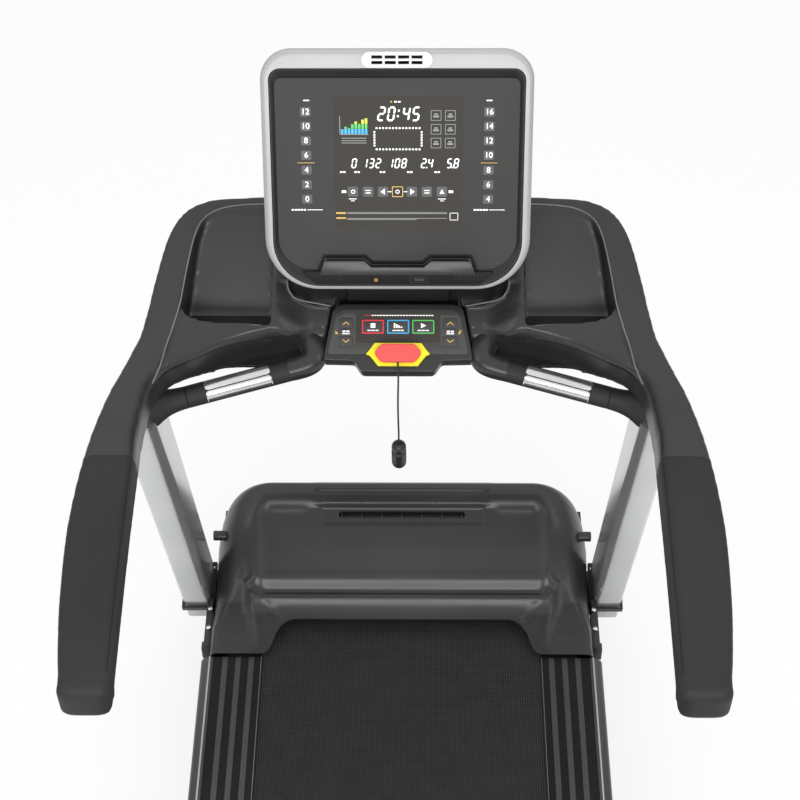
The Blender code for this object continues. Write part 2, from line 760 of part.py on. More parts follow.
def middle_cross(reach):
    """Wide cross tube under the lift arm's hinge, with the two lugs that hold its journals."""
    half = TUBE_HEIGHT / 2
    cross = box_tube(
        "base_cross_middle",
        (-reach, ARM_HINGE_Y - INCLINE_MOTOR_LENGTH / 2, FOOT_HEIGHT),
        (reach, ARM_HINGE_Y + half, BASE_TOP),
        0,
        BLACK_STEEL,
    )
    bore = rod(
        "journal_bore",
        (-reach, ARM_HINGE_Y, ARM_HINGE_Z),
        (reach, ARM_HINGE_Y, ARM_HINGE_Z),
        ARM_JOURNAL_RADIUS + RUNNING_GAP,
    )
    for name, side in SIDES:
        x0, x1 = span(
            ARM_HALF_SPAN + ARM_TUBE_RADIUS + GAP,
            ARM_HALF_SPAN + ARM_TUBE_RADIUS + HINGE_LUG_THICKNESS,
            side,
        )
        lug = block(
            "arm_lug_" + name,
            (x0, ARM_HINGE_Y - HINGE_LUG_RADIUS, BASE_TOP - TUBE_WALL),
            (x1, ARM_HINGE_Y + HINGE_LUG_RADIUS, ARM_HINGE_Z + HINGE_LUG_RADIUS),
        )
        joined(cross, lug)
    cut(cross, bore)


def front_cross(rail_outer):
    """Cross tube in front of the side rails, with a bracket and an axle for each transport wheel."""
    y0 = BASE_RAIL_FRONT + GAP
    y1 = y0 + TUBE_HEIGHT
    cross = box_tube(
        "base_cross_front",
        (-rail_outer, y0, FOOT_HEIGHT),
        (rail_outer, y1, BASE_TOP),
        0,
        BLACK_STEEL,
    )
    wheel_z = WHEEL_RADIUS + WHEEL_LIFT
    for name, side in SIDES:
        x0, x1 = span(WHEEL_INNER - WHEEL_BRACKET, WHEEL_INNER, side)
        joined(
            cross,
            block(
                "wheel_bracket_" + name,
                (x0, y1 - TUBE_WALL, FOOT_HEIGHT),
                (x1, WHEEL_Y + 2 * WHEEL_AXLE_RADIUS, BASE_TOP),
            ),
        )
        joined(
            cross,
            rod(
                "wheel_axle_" + name,
                (side * (WHEEL_INNER - WHEEL_BRACKET / 2), WHEEL_Y, wheel_z),
                (side * (WHEEL_INNER + WHEEL_WIDTH + 3 * GAP), WHEEL_Y, wheel_z),
                WHEEL_AXLE_RADIUS,
            ),
        )
        joined(
            cross,
            rod(
                "axle_head_" + name,
                (side * (WHEEL_INNER + WHEEL_WIDTH + 2 * GAP), WHEEL_Y, wheel_z),
                (side * (WHEEL_INNER + WHEEL_WIDTH + WHEEL_BRACKET), WHEEL_Y, wheel_z),
                WHEEL_AXLE_RADIUS * 1.6,
                sides=6,
            ),
        )
        bore = WHEEL_AXLE_RADIUS + RUNNING_GAP
        low, high = GAP, WHEEL_WIDTH + GAP
        rim = WHEEL_RADIUS * 0.1
        turned(
            "transport_wheel_" + name,
            [
                (bore, high),
                (WHEEL_RADIUS - rim, high),
                (WHEEL_RADIUS, high - rim),
                (WHEEL_RADIUS, low + rim),
                (WHEEL_RADIUS - rim, low),
                (bore, low),
                (bore, high),
            ],
            (side * WHEEL_INNER, WHEEL_Y, wheel_z),
            (side, 0, 0),
            RUBBER,
        )


# ---- incline drive -------------------------------------------------------------------------------


def incline_drive():
    """Motor on the middle cross tube, its screw with a slotted eye, and the arm that lifts the deck."""
    pin_z = ARM_HINGE_Z + CRANK_LENGTH
    arm = rod(
        "lift_arm",
        (-ARM_HALF_SPAN - ARM_TUBE_RADIUS, ARM_HINGE_Y, ARM_HINGE_Z),
        (ARM_HALF_SPAN + ARM_TUBE_RADIUS, ARM_HINGE_Y, ARM_HINGE_Z),
        ARM_TUBE_RADIUS,
        BLACK_STEEL,
    )
    tip_y = ARM_HINGE_Y + ARM_LENGTH
    journal = ARM_HALF_SPAN + ARM_TUBE_RADIUS + HINGE_LUG_THICKNESS
    joined(
        arm,
        rod(
            "arm_journals",
            (-journal, ARM_HINGE_Y, ARM_HINGE_Z),
            (journal, ARM_HINGE_Y, ARM_HINGE_Z),
            ARM_JOURNAL_RADIUS,
        ),
    )
    for name, side in SIDES:
        x = side * ARM_HALF_SPAN
        bar = ARM_BAR_HALF
        joined(
            arm,
            block(
                "arm_bar_" + name,
                (x - bar, ARM_HINGE_Y, ARM_HINGE_Z - bar),
                (x + bar, tip_y, ARM_HINGE_Z + bar),
            ),
        )
        inner = EYE_HALF_WIDTH + 2 * GAP
        x0, x1 = span(inner, inner + CRANK_CHEEK, side)
        joined(
            arm,
            block(
                "crank_" + name,
                (x0, ARM_HINGE_Y - CRANK_PIN_RADIUS, ARM_HINGE_Z),
                (x1, ARM_HINGE_Y + CRANK_PIN_RADIUS, pin_z + CRANK_PIN_RADIUS),
            ),
        )
    joined(
        arm,
        rod(
            "lift_roller",
            (-ARM_HALF_SPAN - ARM_TUBE_RADIUS, tip_y, ARM_HINGE_Z),
            (ARM_HALF_SPAN + ARM_TUBE_RADIUS, tip_y, ARM_HINGE_Z),
            LIFT_ROLLER_RADIUS,
        ),
    )
    cheek_outer = EYE_HALF_WIDTH + 2 * GAP + CRANK_CHEEK / 2
    joined(
        arm,
        rod(
            "crank_pin",
            (-cheek_outer, ARM_HINGE_Y, pin_z),
            (cheek_outer, ARM_HINGE_Y, pin_z),
            CRANK_PIN_RADIUS,
        ),
    )
    origin_at(arm, (0, ARM_HINGE_Y, ARM_HINGE_Z))

    slot = CRANK_PIN_RADIUS + EYE_SLOT_CLEARANCE
    eye_half = slot + EYE_WALL
    eye_low = pin_z - slot - EYE_SLOT_DROP - EYE_END
    eye_high = pin_z + slot + EYE_END
    screw = block(
        "lift_screw",
        (-EYE_HALF_WIDTH, ARM_HINGE_Y - eye_half, eye_low),
        (EYE_HALF_WIDTH, ARM_HINGE_Y + eye_half, eye_high),
        STEEL,
    )
    motor_front = ARM_HINGE_Y - eye_half - CRANK_LENGTH
    motor_rear = motor_front - INCLINE_MOTOR_LENGTH
    screw_z = pin_z - SCREW_DROP
    joined(
        screw,
        rod(
            "screw_bar",
            (0, motor_rear + CRANK_LENGTH, screw_z),
            (0, ARM_HINGE_Y - eye_half / 2 - slot / 2, screw_z),
            SCREW_RADIUS,
        ),
    )
    cut(
        screw,
        block(
            "eye_slot",
            (-2 * EYE_HALF_WIDTH, ARM_HINGE_Y - slot, pin_z - slot - EYE_SLOT_DROP),
            (2 * EYE_HALF_WIDTH, ARM_HINGE_Y + slot, pin_z + slot),
        ),
    )
    motor = block(
        "incline_motor",
        (-INCLINE_MOTOR_HALF_WIDTH, motor_rear, BASE_TOP + GAP),
        (INCLINE_MOTOR_HALF_WIDTH, motor_front, INCLINE_MOTOR_TOP),
        MOTOR_GREY,
    )
    bevelled(motor, INCLINE_MOTOR_EDGE, 1)
    cut(
        motor,
        rod(
            "screw_bore",
            (0, motor_rear + SCREW_END, screw_z),
            (0, motor_front + OVERRUN, screw_z),
            SCREW_RADIUS + RUNNING_GAP,
        ),
    )


# ---- running deck --------------------------------------------------------------------------------


def deck_frame():
    for name, side in SIDES:
        x0, x1 = span(BEAM_INNER, BEAM_OUTER, side)
        beam = box_tube(
            "deck_beam_" + name,
            (x0, BEAM_REAR, BEAM_BOTTOM),
            (x1, BEAM_FRONT, BEAM_TOP),
            1,
            BLACK_STEEL,
        )
        lug_in = BASE_RAIL_INNER + LUG_SIDE_GAP
        x0, x1 = span(lug_in, BEAM_INNER + TUBE_WALL / 2, side)
        joined(
            beam,
            prism(
                "deck_lug_" + name,
                [lug_outline(BEAM_BOTTOM + BEAM_HEIGHT / 2)],
                x0,
                x1,
                ALONG_X,
            ),
        )
        cut(
            beam,
            rod(
                "hinge_bore_" + name,
                (side * (lug_in - OVERRUN), HINGE_Y, HINGE_Z),
                (side * (BEAM_INNER + TUBE_WALL / 2), HINGE_Y, HINGE_Z),
                HINGE_PIN_RADIUS + RUNNING_GAP,
            ),
        )
        for k in range(CUSHION_COUNT):
            reach = BOARD_FRONT - BOARD_REAR
            y = BOARD_REAR + reach * (k + 0.5) / CUSHION_COUNT
            joined(
                beam,
                rod(
                    f"cushion_{name}_{k}",
                    (side * (BEAM_INNER + CUSHION_INSET), y, BEAM_TOP - TUBE_WALL / 2),
                    (side * (BEAM_INNER + CUSHION_INSET), y, BEAM_TOP + CUSHION_HEIGHT),
                    CUSHION_RADIUS,
                    sides=12,
                ),
            )
    pan = block(
        "motor_pan",
        (-BEAM_INNER + GAP, PAN_REAR, PAN_BOTTOM),
        (BEAM_INNER - GAP, PAN_FRONT, PAN_BOTTOM + PAN_THICKNESS),
        BLACK_STEEL,
    )
    joined(
        pan,
        block(
            "lift_plate",
            (-ARM_HALF_SPAN - LIFT_PLATE_MARGIN, PAN_REAR, ARM_HINGE_Z + LIFT_ROLLER_RADIUS + 2 * GAP),
            (ARM_HALF_SPAN + LIFT_PLATE_MARGIN, PAN_REAR + LIFT_PLATE_LENGTH)
            + (PAN_BOTTOM + PAN_THICKNESS / 2,),
        ),
    )


def loop_outline(back, front, back_radius, front_radius, steps=12):
    """The outline of a belt's inner or outer face round two pulleys at (y, z)."""
    ahead = Vector(front) - Vector(back)
    lean = math.acos((back_radius - front_radius) / ahead.length)
    heading = math.atan2(ahead.y, ahead.x)
    points = []
    for k in range(steps + 1):
        angle = heading + lean + (2 * math.pi - 2 * lean) * k / steps
        points.append((back[0] + back_radius * math.cos(angle), back[1] + back_radius * math.sin(angle)))
    for k in range(steps + 1):
        angle = heading - lean + 2 * lean * k / steps
        points.append(
            (front[0] + front_radius * math.cos(angle), front[1] + front_radius * math.sin(angle))
        )
    return points


def running_surface():
    block(
        "running_board",
        (-BOARD_HALF_WIDTH, BOARD_REAR, BOARD_BOTTOM),
        (BOARD_HALF_WIDTH, BOARD_FRONT, BOARD_TOP),
        WOOD,
    )
    back = (REAR_ROLLER_Y, ROLLER_Z)
    front = (FRONT_ROLLER_Y, ROLLER_Z)
    inner = ROLLER_RADIUS + RUNNING_GAP
    outer = inner + BELT_THICKNESS
    prism(
        "running_belt",
        [
            loop_outline(back, front, outer, outer),
            loop_outline(back, front, inner, inner),
        ],
        -BELT_WIDTH / 2,
        BELT_WIDTH / 2,
        ALONG_X,
        BELT_BLACK,
    )
    end = BEAM_INNER - GAP
    face = ROLLER_FACE / 2
    shaft = ROLLER_SHAFT_RADIUS
    turned(
        "rear_roller",
        [(0, end), (shaft, end), (shaft, face), (ROLLER_RADIUS, face)]
        + [(ROLLER_RADIUS, -face), (shaft, -face), (shaft, -end), (0, -end)],
        (0, REAR_ROLLER_Y, ROLLER_Z),
        (1, 0, 0),
        STEEL,
    )
    pulley_out = PULLEY_INNER + PULLEY_WIDTH
    turned(
        "front_roller",
        [(0, end), (shaft, end), (shaft, face), (ROLLER_RADIUS, face), (ROLLER_RADIUS, -face)]
        + [(shaft, -face), (shaft, -PULLEY_INNER), (ROLLER_PULLEY_RADIUS, -PULLEY_INNER)]
        + [(ROLLER_PULLEY_RADIUS, -pulley_out), (shaft, -pulley_out), (shaft, -end), (0, -end)],
        (0, FRONT_ROLLER_Y, ROLLER_Z),
        (1, 0, 0),
        STEEL,
    )


def foot_rails():
    """Ribbed plastic rails on the side beams, with a skirt down the beam's outer side."""
    lip = BELT_TOP + RAIL_LIP_GAP
    under = RAIL_TOP - RAIL_SKIN
    seat_in = BOARD_HALF_WIDTH + RAIL_SEAT_GAP
    seat_out = BEAM_OUTER - RAIL_SEAT_MARGIN
    section = [
        (RAIL_INNER, lip),
        (RAIL_INNER + RAIL_SKIN, lip),
        (RAIL_INNER + RAIL_SKIN, under),
        (seat_in, under),
        (seat_in, BEAM_TOP + GAP),
        (seat_out, BEAM_TOP + GAP),
        (seat_out, under),
        (RAIL_OUTER - RAIL_SKIN, under),
        (RAIL_OUTER - RAIL_SKIN, RAIL_SKIRT_BOTTOM),
        (RAIL_OUTER, RAIL_SKIRT_BOTTOM),
        (RAIL_OUTER, RAIL_TOP - RAIL_SKIN),
        (RAIL_OUTER - RAIL_SKIN, RAIL_TOP),
    ]
    for k in reversed(range(3)):
        start = RAIL_INNER + RIB_FIRST + k * RIB_PITCH
        section += [
            (start + RIB_WIDTH, RAIL_TOP),
            (start + RIB_WIDTH, RAIL_TOP + RIB_HEIGHT),
            (start, RAIL_TOP + RIB_HEIGHT),
            (start, RAIL_TOP),
        ]
    section.append((RAIL_INNER, RAIL_TOP))
    for name, side in SIDES:
        outline = [(-side * x, z) for x, z in section]
        prism(
            "foot_rail_" + name,
            [outline],
            BEAM_REAR,
            RAIL_FRONT - GAP,
            ALONG_Y,
            CHARCOAL,
        )
    rear_cover()


def rear_cover():
    """Full-width cap over the rear roller, open towards the deck."""
    wall = REAR_COVER_WALL
    low_z = BEAM_BOTTOM - REAR_COVER_DROP
    cover = bevelled(
        block(
            "rear_cover",
            (-RAIL_OUTER, REAR_END, low_z),
            (RAIL_OUTER, BEAM_REAR - GAP, RAIL_TOP),
            CHARCOAL,
        ),
        REAR_COVER_EDGE,
    )
    cut(
        cover,
        block(
            "rear_cover_hollow",
            (-RAIL_OUTER + wall, REAR_END + wall, low_z + wall),
            (RAIL_OUTER - wall, BEAM_REAR + OVERRUN, RAIL_TOP - wall),
        ),
    )


# ---- drive under the hood ------------------------------------------------------------------------


def drive():
    pan_top = PAN_BOTTOM + PAN_THICKNESS
    bore = ROTOR_SHAFT_RADIUS + RUNNING_GAP
    depth = ROTOR_SEAT_DEPTH
    neck = MOTOR_NECK_RADIUS
    shoulder = MOTOR_SHOULDER
    motor = turned(
        "drive_motor",
        [(0, MOTOR_RIGHT), (neck, MOTOR_RIGHT), (MOTOR_RADIUS, MOTOR_RIGHT - shoulder)]
        + [(MOTOR_RADIUS, MOTOR_LEFT + shoulder), (neck, MOTOR_LEFT), (bore, MOTOR_LEFT)]
        + [(bore, MOTOR_LEFT + depth), (0, MOTOR_LEFT + depth)],
        (0, MOTOR_Y, MOTOR_Z),
        (1, 0, 0),
        MOTOR_GREY,
    )
    joined(
        motor,
        block(
            "motor_foot",
            (MOTOR_LEFT + MOTOR_FOOT_MARGIN, -neck, pan_top + GAP - MOTOR_Z),
            (MOTOR_RIGHT - MOTOR_FOOT_MARGIN, neck, MOTOR_FOOT_RISE - MOTOR_RADIUS),
            frame=Matrix.Translation((0, MOTOR_Y, MOTOR_Z)),
        ),
    )
    pulley_out = -PULLEY_INNER - PULLEY_WIDTH
    wheel_in = MOTOR_LEFT - FLYWHEEL_GAP
    wheel_out = wheel_in - FLYWHEEL_WIDTH
    shaft_end = MOTOR_LEFT + ROTOR_SEAT_DEPTH - ROTOR_END_GAP
    turned(
        "motor_rotor",
        [(0, shaft_end), (ROTOR_SHAFT_RADIUS, shaft_end)]
        + [(ROTOR_SHAFT_RADIUS, wheel_in), (FLYWHEEL_RADIUS, wheel_in), (FLYWHEEL_RADIUS, wheel_out)]
        + [(ROTOR_SHAFT_RADIUS, wheel_out), (ROTOR_SHAFT_RADIUS, -PULLEY_INNER)]
        + [(MOTOR_PULLEY_RADIUS, -PULLEY_INNER), (MOTOR_PULLEY_RADIUS, pulley_out), (0, pulley_out)],
        (0, MOTOR_Y, MOTOR_Z),
        (1, 0, 0),
        STEEL,
    )
    back = (FRONT_ROLLER_Y, ROLLER_Z)
    front = (MOTOR_Y, MOTOR_Z)
    roller = ROLLER_PULLEY_RADIUS + RUNNING_GAP
    rotor = MOTOR_PULLEY_RADIUS + RUNNING_GAP
    prism(
        "drive_belt",
        [
            loop_outline(
                back, front, roller + DRIVE_BELT_THICKNESS, rotor + DRIVE_BELT_THICKNESS, 16
            ),
            loop_outline(back, front, roller, rotor, 16),
        ],
        -PULLEY_INNER - PULLEY_WIDTH + DRIVE_BELT_MARGIN,
        -PULLEY_INNER - DRIVE_BELT_MARGIN,
        ALONG_X,
        RUBBER,
    )


def hood_body(name, inset, material=None):
    """The hood's outer form, or the form of its hollow when inset by the wall."""
    half = HOOD_HALF_WIDTH - inset
    rear = FRONT_END - HOOD_REAR_SETBACK + inset
    wing = RAIL_FRONT + inset
    front = FRONT_END - inset
    right = [(HOOD_LIP_HALF, rear), (HOOD_WING_BEND, wing + HOOD_WING_STEP), (HOOD_WING_INNER, wing)]
    right.append((half, wing))
    right += [(half - inwards, front - back) for inwards, back in HOOD_CORNER]
    left = [(-x, y) for x, y in reversed(right)]
    top = [(FRONT_END - back, HOOD_REAR_LIP + rise) for back, rise in HOOD_NOSE]
    top.append((RAIL_FRONT - OVERRUN, HOOD_REAR_LIP - HOOD_WING_DROP))
    low = PAN_BOTTOM - OVERRUN
    shoulder = [(HOOD_HALF_WIDTH - inwards, HOOD_CREST - down) for inwards, down in HOOD_SHOULDER]
    end_view = [(HOOD_HALF_WIDTH, low)] + shoulder
    end_view += [(-x, z) for x, z in reversed(end_view)]
    if inset:
        side = drawn_in([(RAIL_FRONT - OVERRUN, low), (FRONT_END, low)] + top, inset)
        end_view = drawn_in(end_view, inset)
    else:
        side = [(RAIL_FRONT - OVERRUN, BEAM_TOP + GAP), (BEAM_FRONT + HOOD_WALL, BEAM_TOP + GAP)]
        side += [(BEAM_FRONT + HOOD_WALL, PAN_BOTTOM), (front + OVERRUN, PAN_BOTTOM)]
        side += [(front + OVERRUN, top[0][1])] + top
    body = prism(name, [right + left], BASE_TOP, HOOD_CREST + OVERRUN, ALONG_Z, material)
    reach = HOOD_HALF_WIDTH + OVERRUN
    kept_inside(body, prism(name + "_side_view", [side], -reach, reach, ALONG_X))
    reach = FRONT_END + OVERRUN
    return kept_inside(body, prism(name + "_end_view", [end_view], 0, reach, ALONG_Y))


def hood():
    shell = hood_body("motor_hood", 0, CHARCOAL)
    bevelled(shell, HOOD_EDGE, 2, 50)
    hollow = hood_body("hood_hollow", HOOD_WALL)
    bevelled(hollow, HOOD_EDGE, 2, 50)
    cut(shell, hollow)
    half = BOARD_HALF_WIDTH + HOOD_SLOT_MARGIN
    cut(
        shell,
        block(
            "belt_slot",
            (-half, RAIL_FRONT - OVERRUN, 0),
            (half, FRONT_ROLLER_Y, BELT_TOP + HOOD_SLOT_GAP),
        ),
    )


# ---- uprights ------------------------------------------------------------------------------------


def upright_frame(side):
    """X across, Y towards the console, Z up the leaning tube, from its foot on the floor plane."""
    lean = Vector((0, -math.sin(UPRIGHT_LEAN), math.cos(UPRIGHT_LEAN)))
    ahead = Vector((0, math.cos(UPRIGHT_LEAN), math.sin(UPRIGHT_LEAN)))
    foot_y = UPRIGHT_FOOT_Y + math.tan(UPRIGHT_LEAN) * UPRIGHT_BOTTOM
    origin = (side * (UPRIGHT_INNER + UPRIGHT_WIDTH / 2), foot_y, 0)
    turn = Matrix((Vector((1, 0, 0)), ahead, lean)).transposed().to_4x4()
    return Matrix.Translation(origin) @ turn


def upright_point(z):
    """The y of the tube's centre line at height z."""
    return UPRIGHT_FOOT_Y - math.tan(UPRIGHT_LEAN) * (z - UPRIGHT_BOTTOM)


def uprights():
    half = UPRIGHT_WIDTH / 2
    deep = UPRIGHT_DEPTH / 2
    for name, side in SIDES:
        frame = upright_frame(side)
        length = UPRIGHT_TOP / math.cos(UPRIGHT_LEAN)
        start = UPRIGHT_BOTTOM / math.cos(UPRIGHT_LEAN)
        tube_body = block(
            "upright_" + name, (-half, -deep, start), (half, deep, length), LIGHT_GREY, frame
        )
        wall = UPRIGHT_WALL
        cut(
            tube_body,
            block(
                "upright_bore_" + name,
                (-half + wall, -deep + wall, start - wall),
                (half - wall, deep - wall, length - 3 * wall),
                frame=frame,
            ),
        )
        joined(tube_body, tube("handrail_tube_" + name, handrail_path(side), HANDRAIL_TUBE_RADIUS))
        collar_z = COLLAR_Z / math.cos(UPRIGHT_LEAN)
        rim = COLLAR_RIM
        collar = block(
            "upright_collar_" + name,
            (-half - rim, -deep - rim, collar_z),
            (half + rim, deep + rim, collar_z + COLLAR_HEIGHT),
            CHARCOAL,
            frame,
        )
        cut(
            collar,
            block(
                "collar_hole_" + name,
                (-half - GAP, -deep - GAP, collar_z - OVERRUN),
                (half + GAP, deep + GAP, collar_z + COLLAR_HEIGHT + OVERRUN),
                frame=frame,
            ),
        )
    plate = UPRIGHT_INNER - GAP
    y_middle = upright_point((PLATE_TOP + UPRIGHT_BOTTOM) / 2)
    bar = block(
        "upright_crossbar",
        (-plate, y_middle - TUBE_HEIGHT / 2, BASE_TOP + GAP),
        (plate, y_middle + TUBE_HEIGHT / 2, BASE_TOP + GAP + CROSSBAR_HEIGHT),
        BLACK_STEEL,
    )
    for name, side in SIDES:
        x0, x1 = span(plate - PLATE_THICKNESS, plate, side)
        joined(
            bar,
            block(
                "upright_plate_" + name,
                (x0, y_middle - PLATE_LENGTH / 2, BASE_TOP + GAP),
                (x1, y_middle + PLATE_LENGTH / 2, PLATE_TOP),
            ),
        )
    cut(
        bar,
        block(
            "crossbar_bore",
            (-plate - TUBE_WALL, y_middle - TUBE_HEIGHT / 2 + TUBE_WALL, BASE_TOP + GAP + TUBE_WALL),
            (plate + TUBE_WALL, y_middle + TUBE_HEIGHT / 2 - TUBE_WALL)
            + (BASE_TOP + GAP + CROSSBAR_HEIGHT - TUBE_WALL,),
        ),
    )


# ---- console tray and handrail arms --------------------------------------------------------------

def handrail_path(side):
    """The steel tube in each arm: up out of the upright's head, then back to near the sleeve's end."""
    foot_z = UPRIGHT_TOP - 0.5 * UPRIGHT_DEPTH
    foot_y = upright_point(foot_z)
    points = [(HANDRAIL_X, foot_y, foot_z)]
    points.append((HANDRAIL_X, foot_y - HANDRAIL_BEND, arm_height(foot_y) - HANDRAIL_BEND))
    stops = (ARM_OUTER[0][1], ARM_SEAM_Y, SLEEVE_OUTER[2][1], SLEEVE_OUTER[1][1])
    for y in (*stops, SLEEVE_END_Y + HANDRAIL_END_GAP):
        points.append((arm_centre(y), y, arm_height(y)))
    return [(side * x, y, z) for x, y, z in points]


def between(line, y):
    """A height, or a width, read off a list of points in rising order."""
    for (a, za), (b, zb) in zip(line, line[1:]):
        if a <= y <= b:
            return za + (zb - za) * (y - a) / (b - a)
    return line[-1][1]


def arm_centre(y):
    """The middle of the arm's plan view at y."""
    outer = [(py, px) for px, py in SLEEVE_OUTER + ARM_OUTER]
    inner = [(py, px) for px, py in list(reversed(SLEEVE_INNER)) + ARM_INNER]
    return (between(outer, max(y, outer[0][0])) + between(inner, max(y, inner[0][0]))) / 2


def arm_height(y):
    return (between(TOP_LINE, y) + between(list(reversed(UNDER_LINE)), y)) / 2


def side_view(name, drop, lift):
    """The tray and arms seen from the side, as a slab across the whole machine."""
    top = [(y, z - drop) for y, z in TOP_LINE]
    under = [(y, z + lift) for y, z in UNDER_LINE]
    return prism(name, [top + under], -TRAY_REACH, TRAY_REACH, ALONG_X)


def sleeves():
    for name, side in SIDES:
        end = SLEEVE_END_Y
        tip, nose, middle = SLEEVE_TIP_HALF, SLEEVE_NOSE_HALF, SLEEVE_NOSE_X
        right = [(middle - nose, end + SLEEVE_TIP), (middle - tip, end)]
        right += [(middle + tip, end), (middle + nose, end + SLEEVE_TIP)]
        right += SLEEVE_OUTER[:-1]
        seam = ARM_SEAM_Y - GAP
        right += [(SLEEVE_OUTER[-1][0], seam), (SLEEVE_INNER[0][0], seam)]
        right += SLEEVE_INNER[1:]
        outline = mirrored(right, side)
        sleeve = prism("arm_sleeve_" + name, [outline], TRAY_LOW, TRAY_HIGH, ALONG_Z, RUBBER)
        kept_inside(sleeve, side_view("sleeve_side_" + name, 0, 0))
        bevelled(sleeve, SLEEVE_EDGE, 2, 35)
        cut(
            sleeve,
            tube("sleeve_bore_" + name, handrail_path(side), HANDRAIL_TUBE_RADIUS + GAP),
        )


def drawn_in(outline, distance):
    """An outline with each side moved inwards by a distance."""
    count = len(outline)
    turn = sum(
        outline[i - 1][0] * outline[i][1] - outline[i][0] * outline[i - 1][1] for i in range(count)
    )
    sign = 1 if turn > 0 else -1
    points = []
    for i, corner in enumerate(outline):
        here = Vector(corner)
        before = (here - Vector(outline[i - 1])).normalized()
        after = (Vector(outline[(i + 1) % count]) - here).normalized()
        normal_before = Vector((-before.y, before.x)) * sign
        normal_after = Vector((-after.y, after.x)) * sign
        middle = (normal_before + normal_after).normalized()
        points.append(tuple(here + middle * distance / middle.dot(normal_after)))
    return points


def tray_plan(name, inset, material=None):
    """The tray and its two arms from above, drawn in by inset, from the seams to the back."""
    seam = ARM_SEAM_Y + GAP
    outer = [(SLEEVE_OUTER[-1][0], seam)] + ARM_OUTER
    inner = [(SLEEVE_INNER[0][0], seam)] + ARM_INNER
    inner.append((POD_NOTCH_HALF, POD_NOTCH_Y))
    inner.append((POD_NOTCH_HALF - POD_NOTCH_SLOPE, TRAY_CENTRE_Y))
    right = inner[::-1] + outer
    left = [(-x, y) for x, y in reversed(right)]
    outline = right + left
    if inset:
        outline = drawn_in(outline, inset)
    return prism(name, [outline], TRAY_LOW, TRAY_HIGH, ALONG_Z, material)


def tub_form(name, side, grow, material=None):
    """A storage tub's pocket: upright front and sides, with a back wall that leans away."""
    back = TUB_BACK_Y + grow
    plan = [
        (TUB_INNER - grow, TUB_FRONT_Y - grow),
        (TUB_OUTER + grow, TUB_FRONT_Y - grow),
        (TUB_OUTER + grow, TUB_CORNER_Y),
        (TUB_BACK_OUTER + grow, back),
        (TUB_INNER - grow, back),
    ]
    front = TUB_FRONT_Y - 2 * OVERRUN
    profile = [
        (front, TUB_FLOOR - grow),
        (TUB_FLOOR_BACK + grow, TUB_FLOOR - grow),
        (TUB_LEAN_BACK + grow, TUB_LEAN_TOP),
        (TUB_LEAN_BACK + grow, TRAY_HIGH),
        (front, TRAY_HIGH),
    ]
    pocket = prism(name, [mirrored(plan, side)], TRAY_LOW, TRAY_HIGH, ALONG_Z, material)
    reach = TRAY_REACH
    return kept_inside(pocket, prism(name + "_side_view", [profile], -reach, reach, ALONG_X))


def tray():
    shell = tray_plan("tray_shell", 0, CHARCOAL)
    kept_inside(shell, side_view("tray_side", 0, 0))
    recess = block(
        "head_recess",
        (-HEAD_RECESS_HALF, HEAD_RECESS_Y, HEAD_RECESS_Z),
        (HEAD_RECESS_HALF, HEAD_RECESS_BACK, TRAY_HIGH),
    )
    cut(shell, recess)
    bevelled(shell, TRAY_EDGE, 1, 45)
    hollow = tray_plan("tray_hollow", TRAY_WALL)
    kept_inside(hollow, side_view("tray_hollow_side", TRAY_WALL, -2 * OVERRUN))
    cut(
        hollow,
        block(
            "recess_floor",
            (-HEAD_RECESS_HALF - TRAY_WALL, HEAD_RECESS_Y - TRAY_WALL, HEAD_RECESS_Z - TRAY_WALL),
            (HEAD_RECESS_HALF + TRAY_WALL, HEAD_RECESS_BACK + TRAY_WALL, TRAY_HIGH),
        ),
    )
    for name, side in SIDES:
        cut(hollow, tub_form("tub_outer_" + name, side, TRAY_WALL))
    cut(shell, hollow)
    for name, side in SIDES:
        cut(shell, tub_form("tub_pocket_" + name, side, 0))
        hole = HANDRAIL_TUBE_RADIUS + 2 * GAP
        cut(shell, tube("tray_hole_" + name, handrail_path(side), hole))
    base = HEAD_RECESS_Z - TRAY_WALL / 2
    neck_front = TRAY_CENTRE_Y + NECK_INSET
    neck = prism(
        "neck",
        [
            [
                (neck_front, base),
                (NECK_FOOT_Y, base),
                (NECK_HEAD_Y, head_bottom(NECK_HEAD_Y) - GAP),
                (neck_front, head_bottom(neck_front) - GAP),
            ]
        ],
        -NECK_HALF_WIDTH,
        NECK_HALF_WIDTH,
        ALONG_X,
    )
    joined(shell, neck)
    under = tray_plan("tray_underside", TRAY_WALL + GAP, CHARCOAL)
    reach = TRAY_REACH
    layer = UNDER_LINE + [(y, z + UNDERSIDE_THICKNESS) for y, z in reversed(UNDER_LINE)]
    kept_inside(under, prism("underside_layer", [layer], -reach, reach, ALONG_X))
    for name, side in SIDES:
        hole = HANDRAIL_TUBE_RADIUS + 2 * GAP
        cut(under, tube("underside_hole_" + name, handrail_path(side), hole))


def head_bottom(y):
    """The height of the head's lower face at y."""
    corner_y = HEAD_Y - HEAD_HEIGHT / 2 * math.sin(HEAD_RECLINE)
    corner_z = HEAD_Z - HEAD_HEIGHT / 2 * math.cos(HEAD_RECLINE)
    return corner_z - (y - corner_y) * math.tan(HEAD_RECLINE)


# ---- display head --------------------------------------------------------------------------------

HEAD_FRAME = frame_at(
    (0, HEAD_Y, HEAD_Z), (1, 0, 0), (0, math.sin(HEAD_RECLINE), math.cos(HEAD_RECLINE))
)


def head_outline(inset):
    """The face's outline: tight top corners and wide bottom corners."""
    w = HEAD_WIDTH / 2 - inset
    h = HEAD_HEIGHT / 2 - inset
    top = HEAD_TOP_RADIUS - inset
    bottom = HEAD_BOTTOM_RADIUS - inset
    return rounded([(-w, -h), (w, -h), (w, h), (-w, h)], (bottom, bottom, top, top), 5)


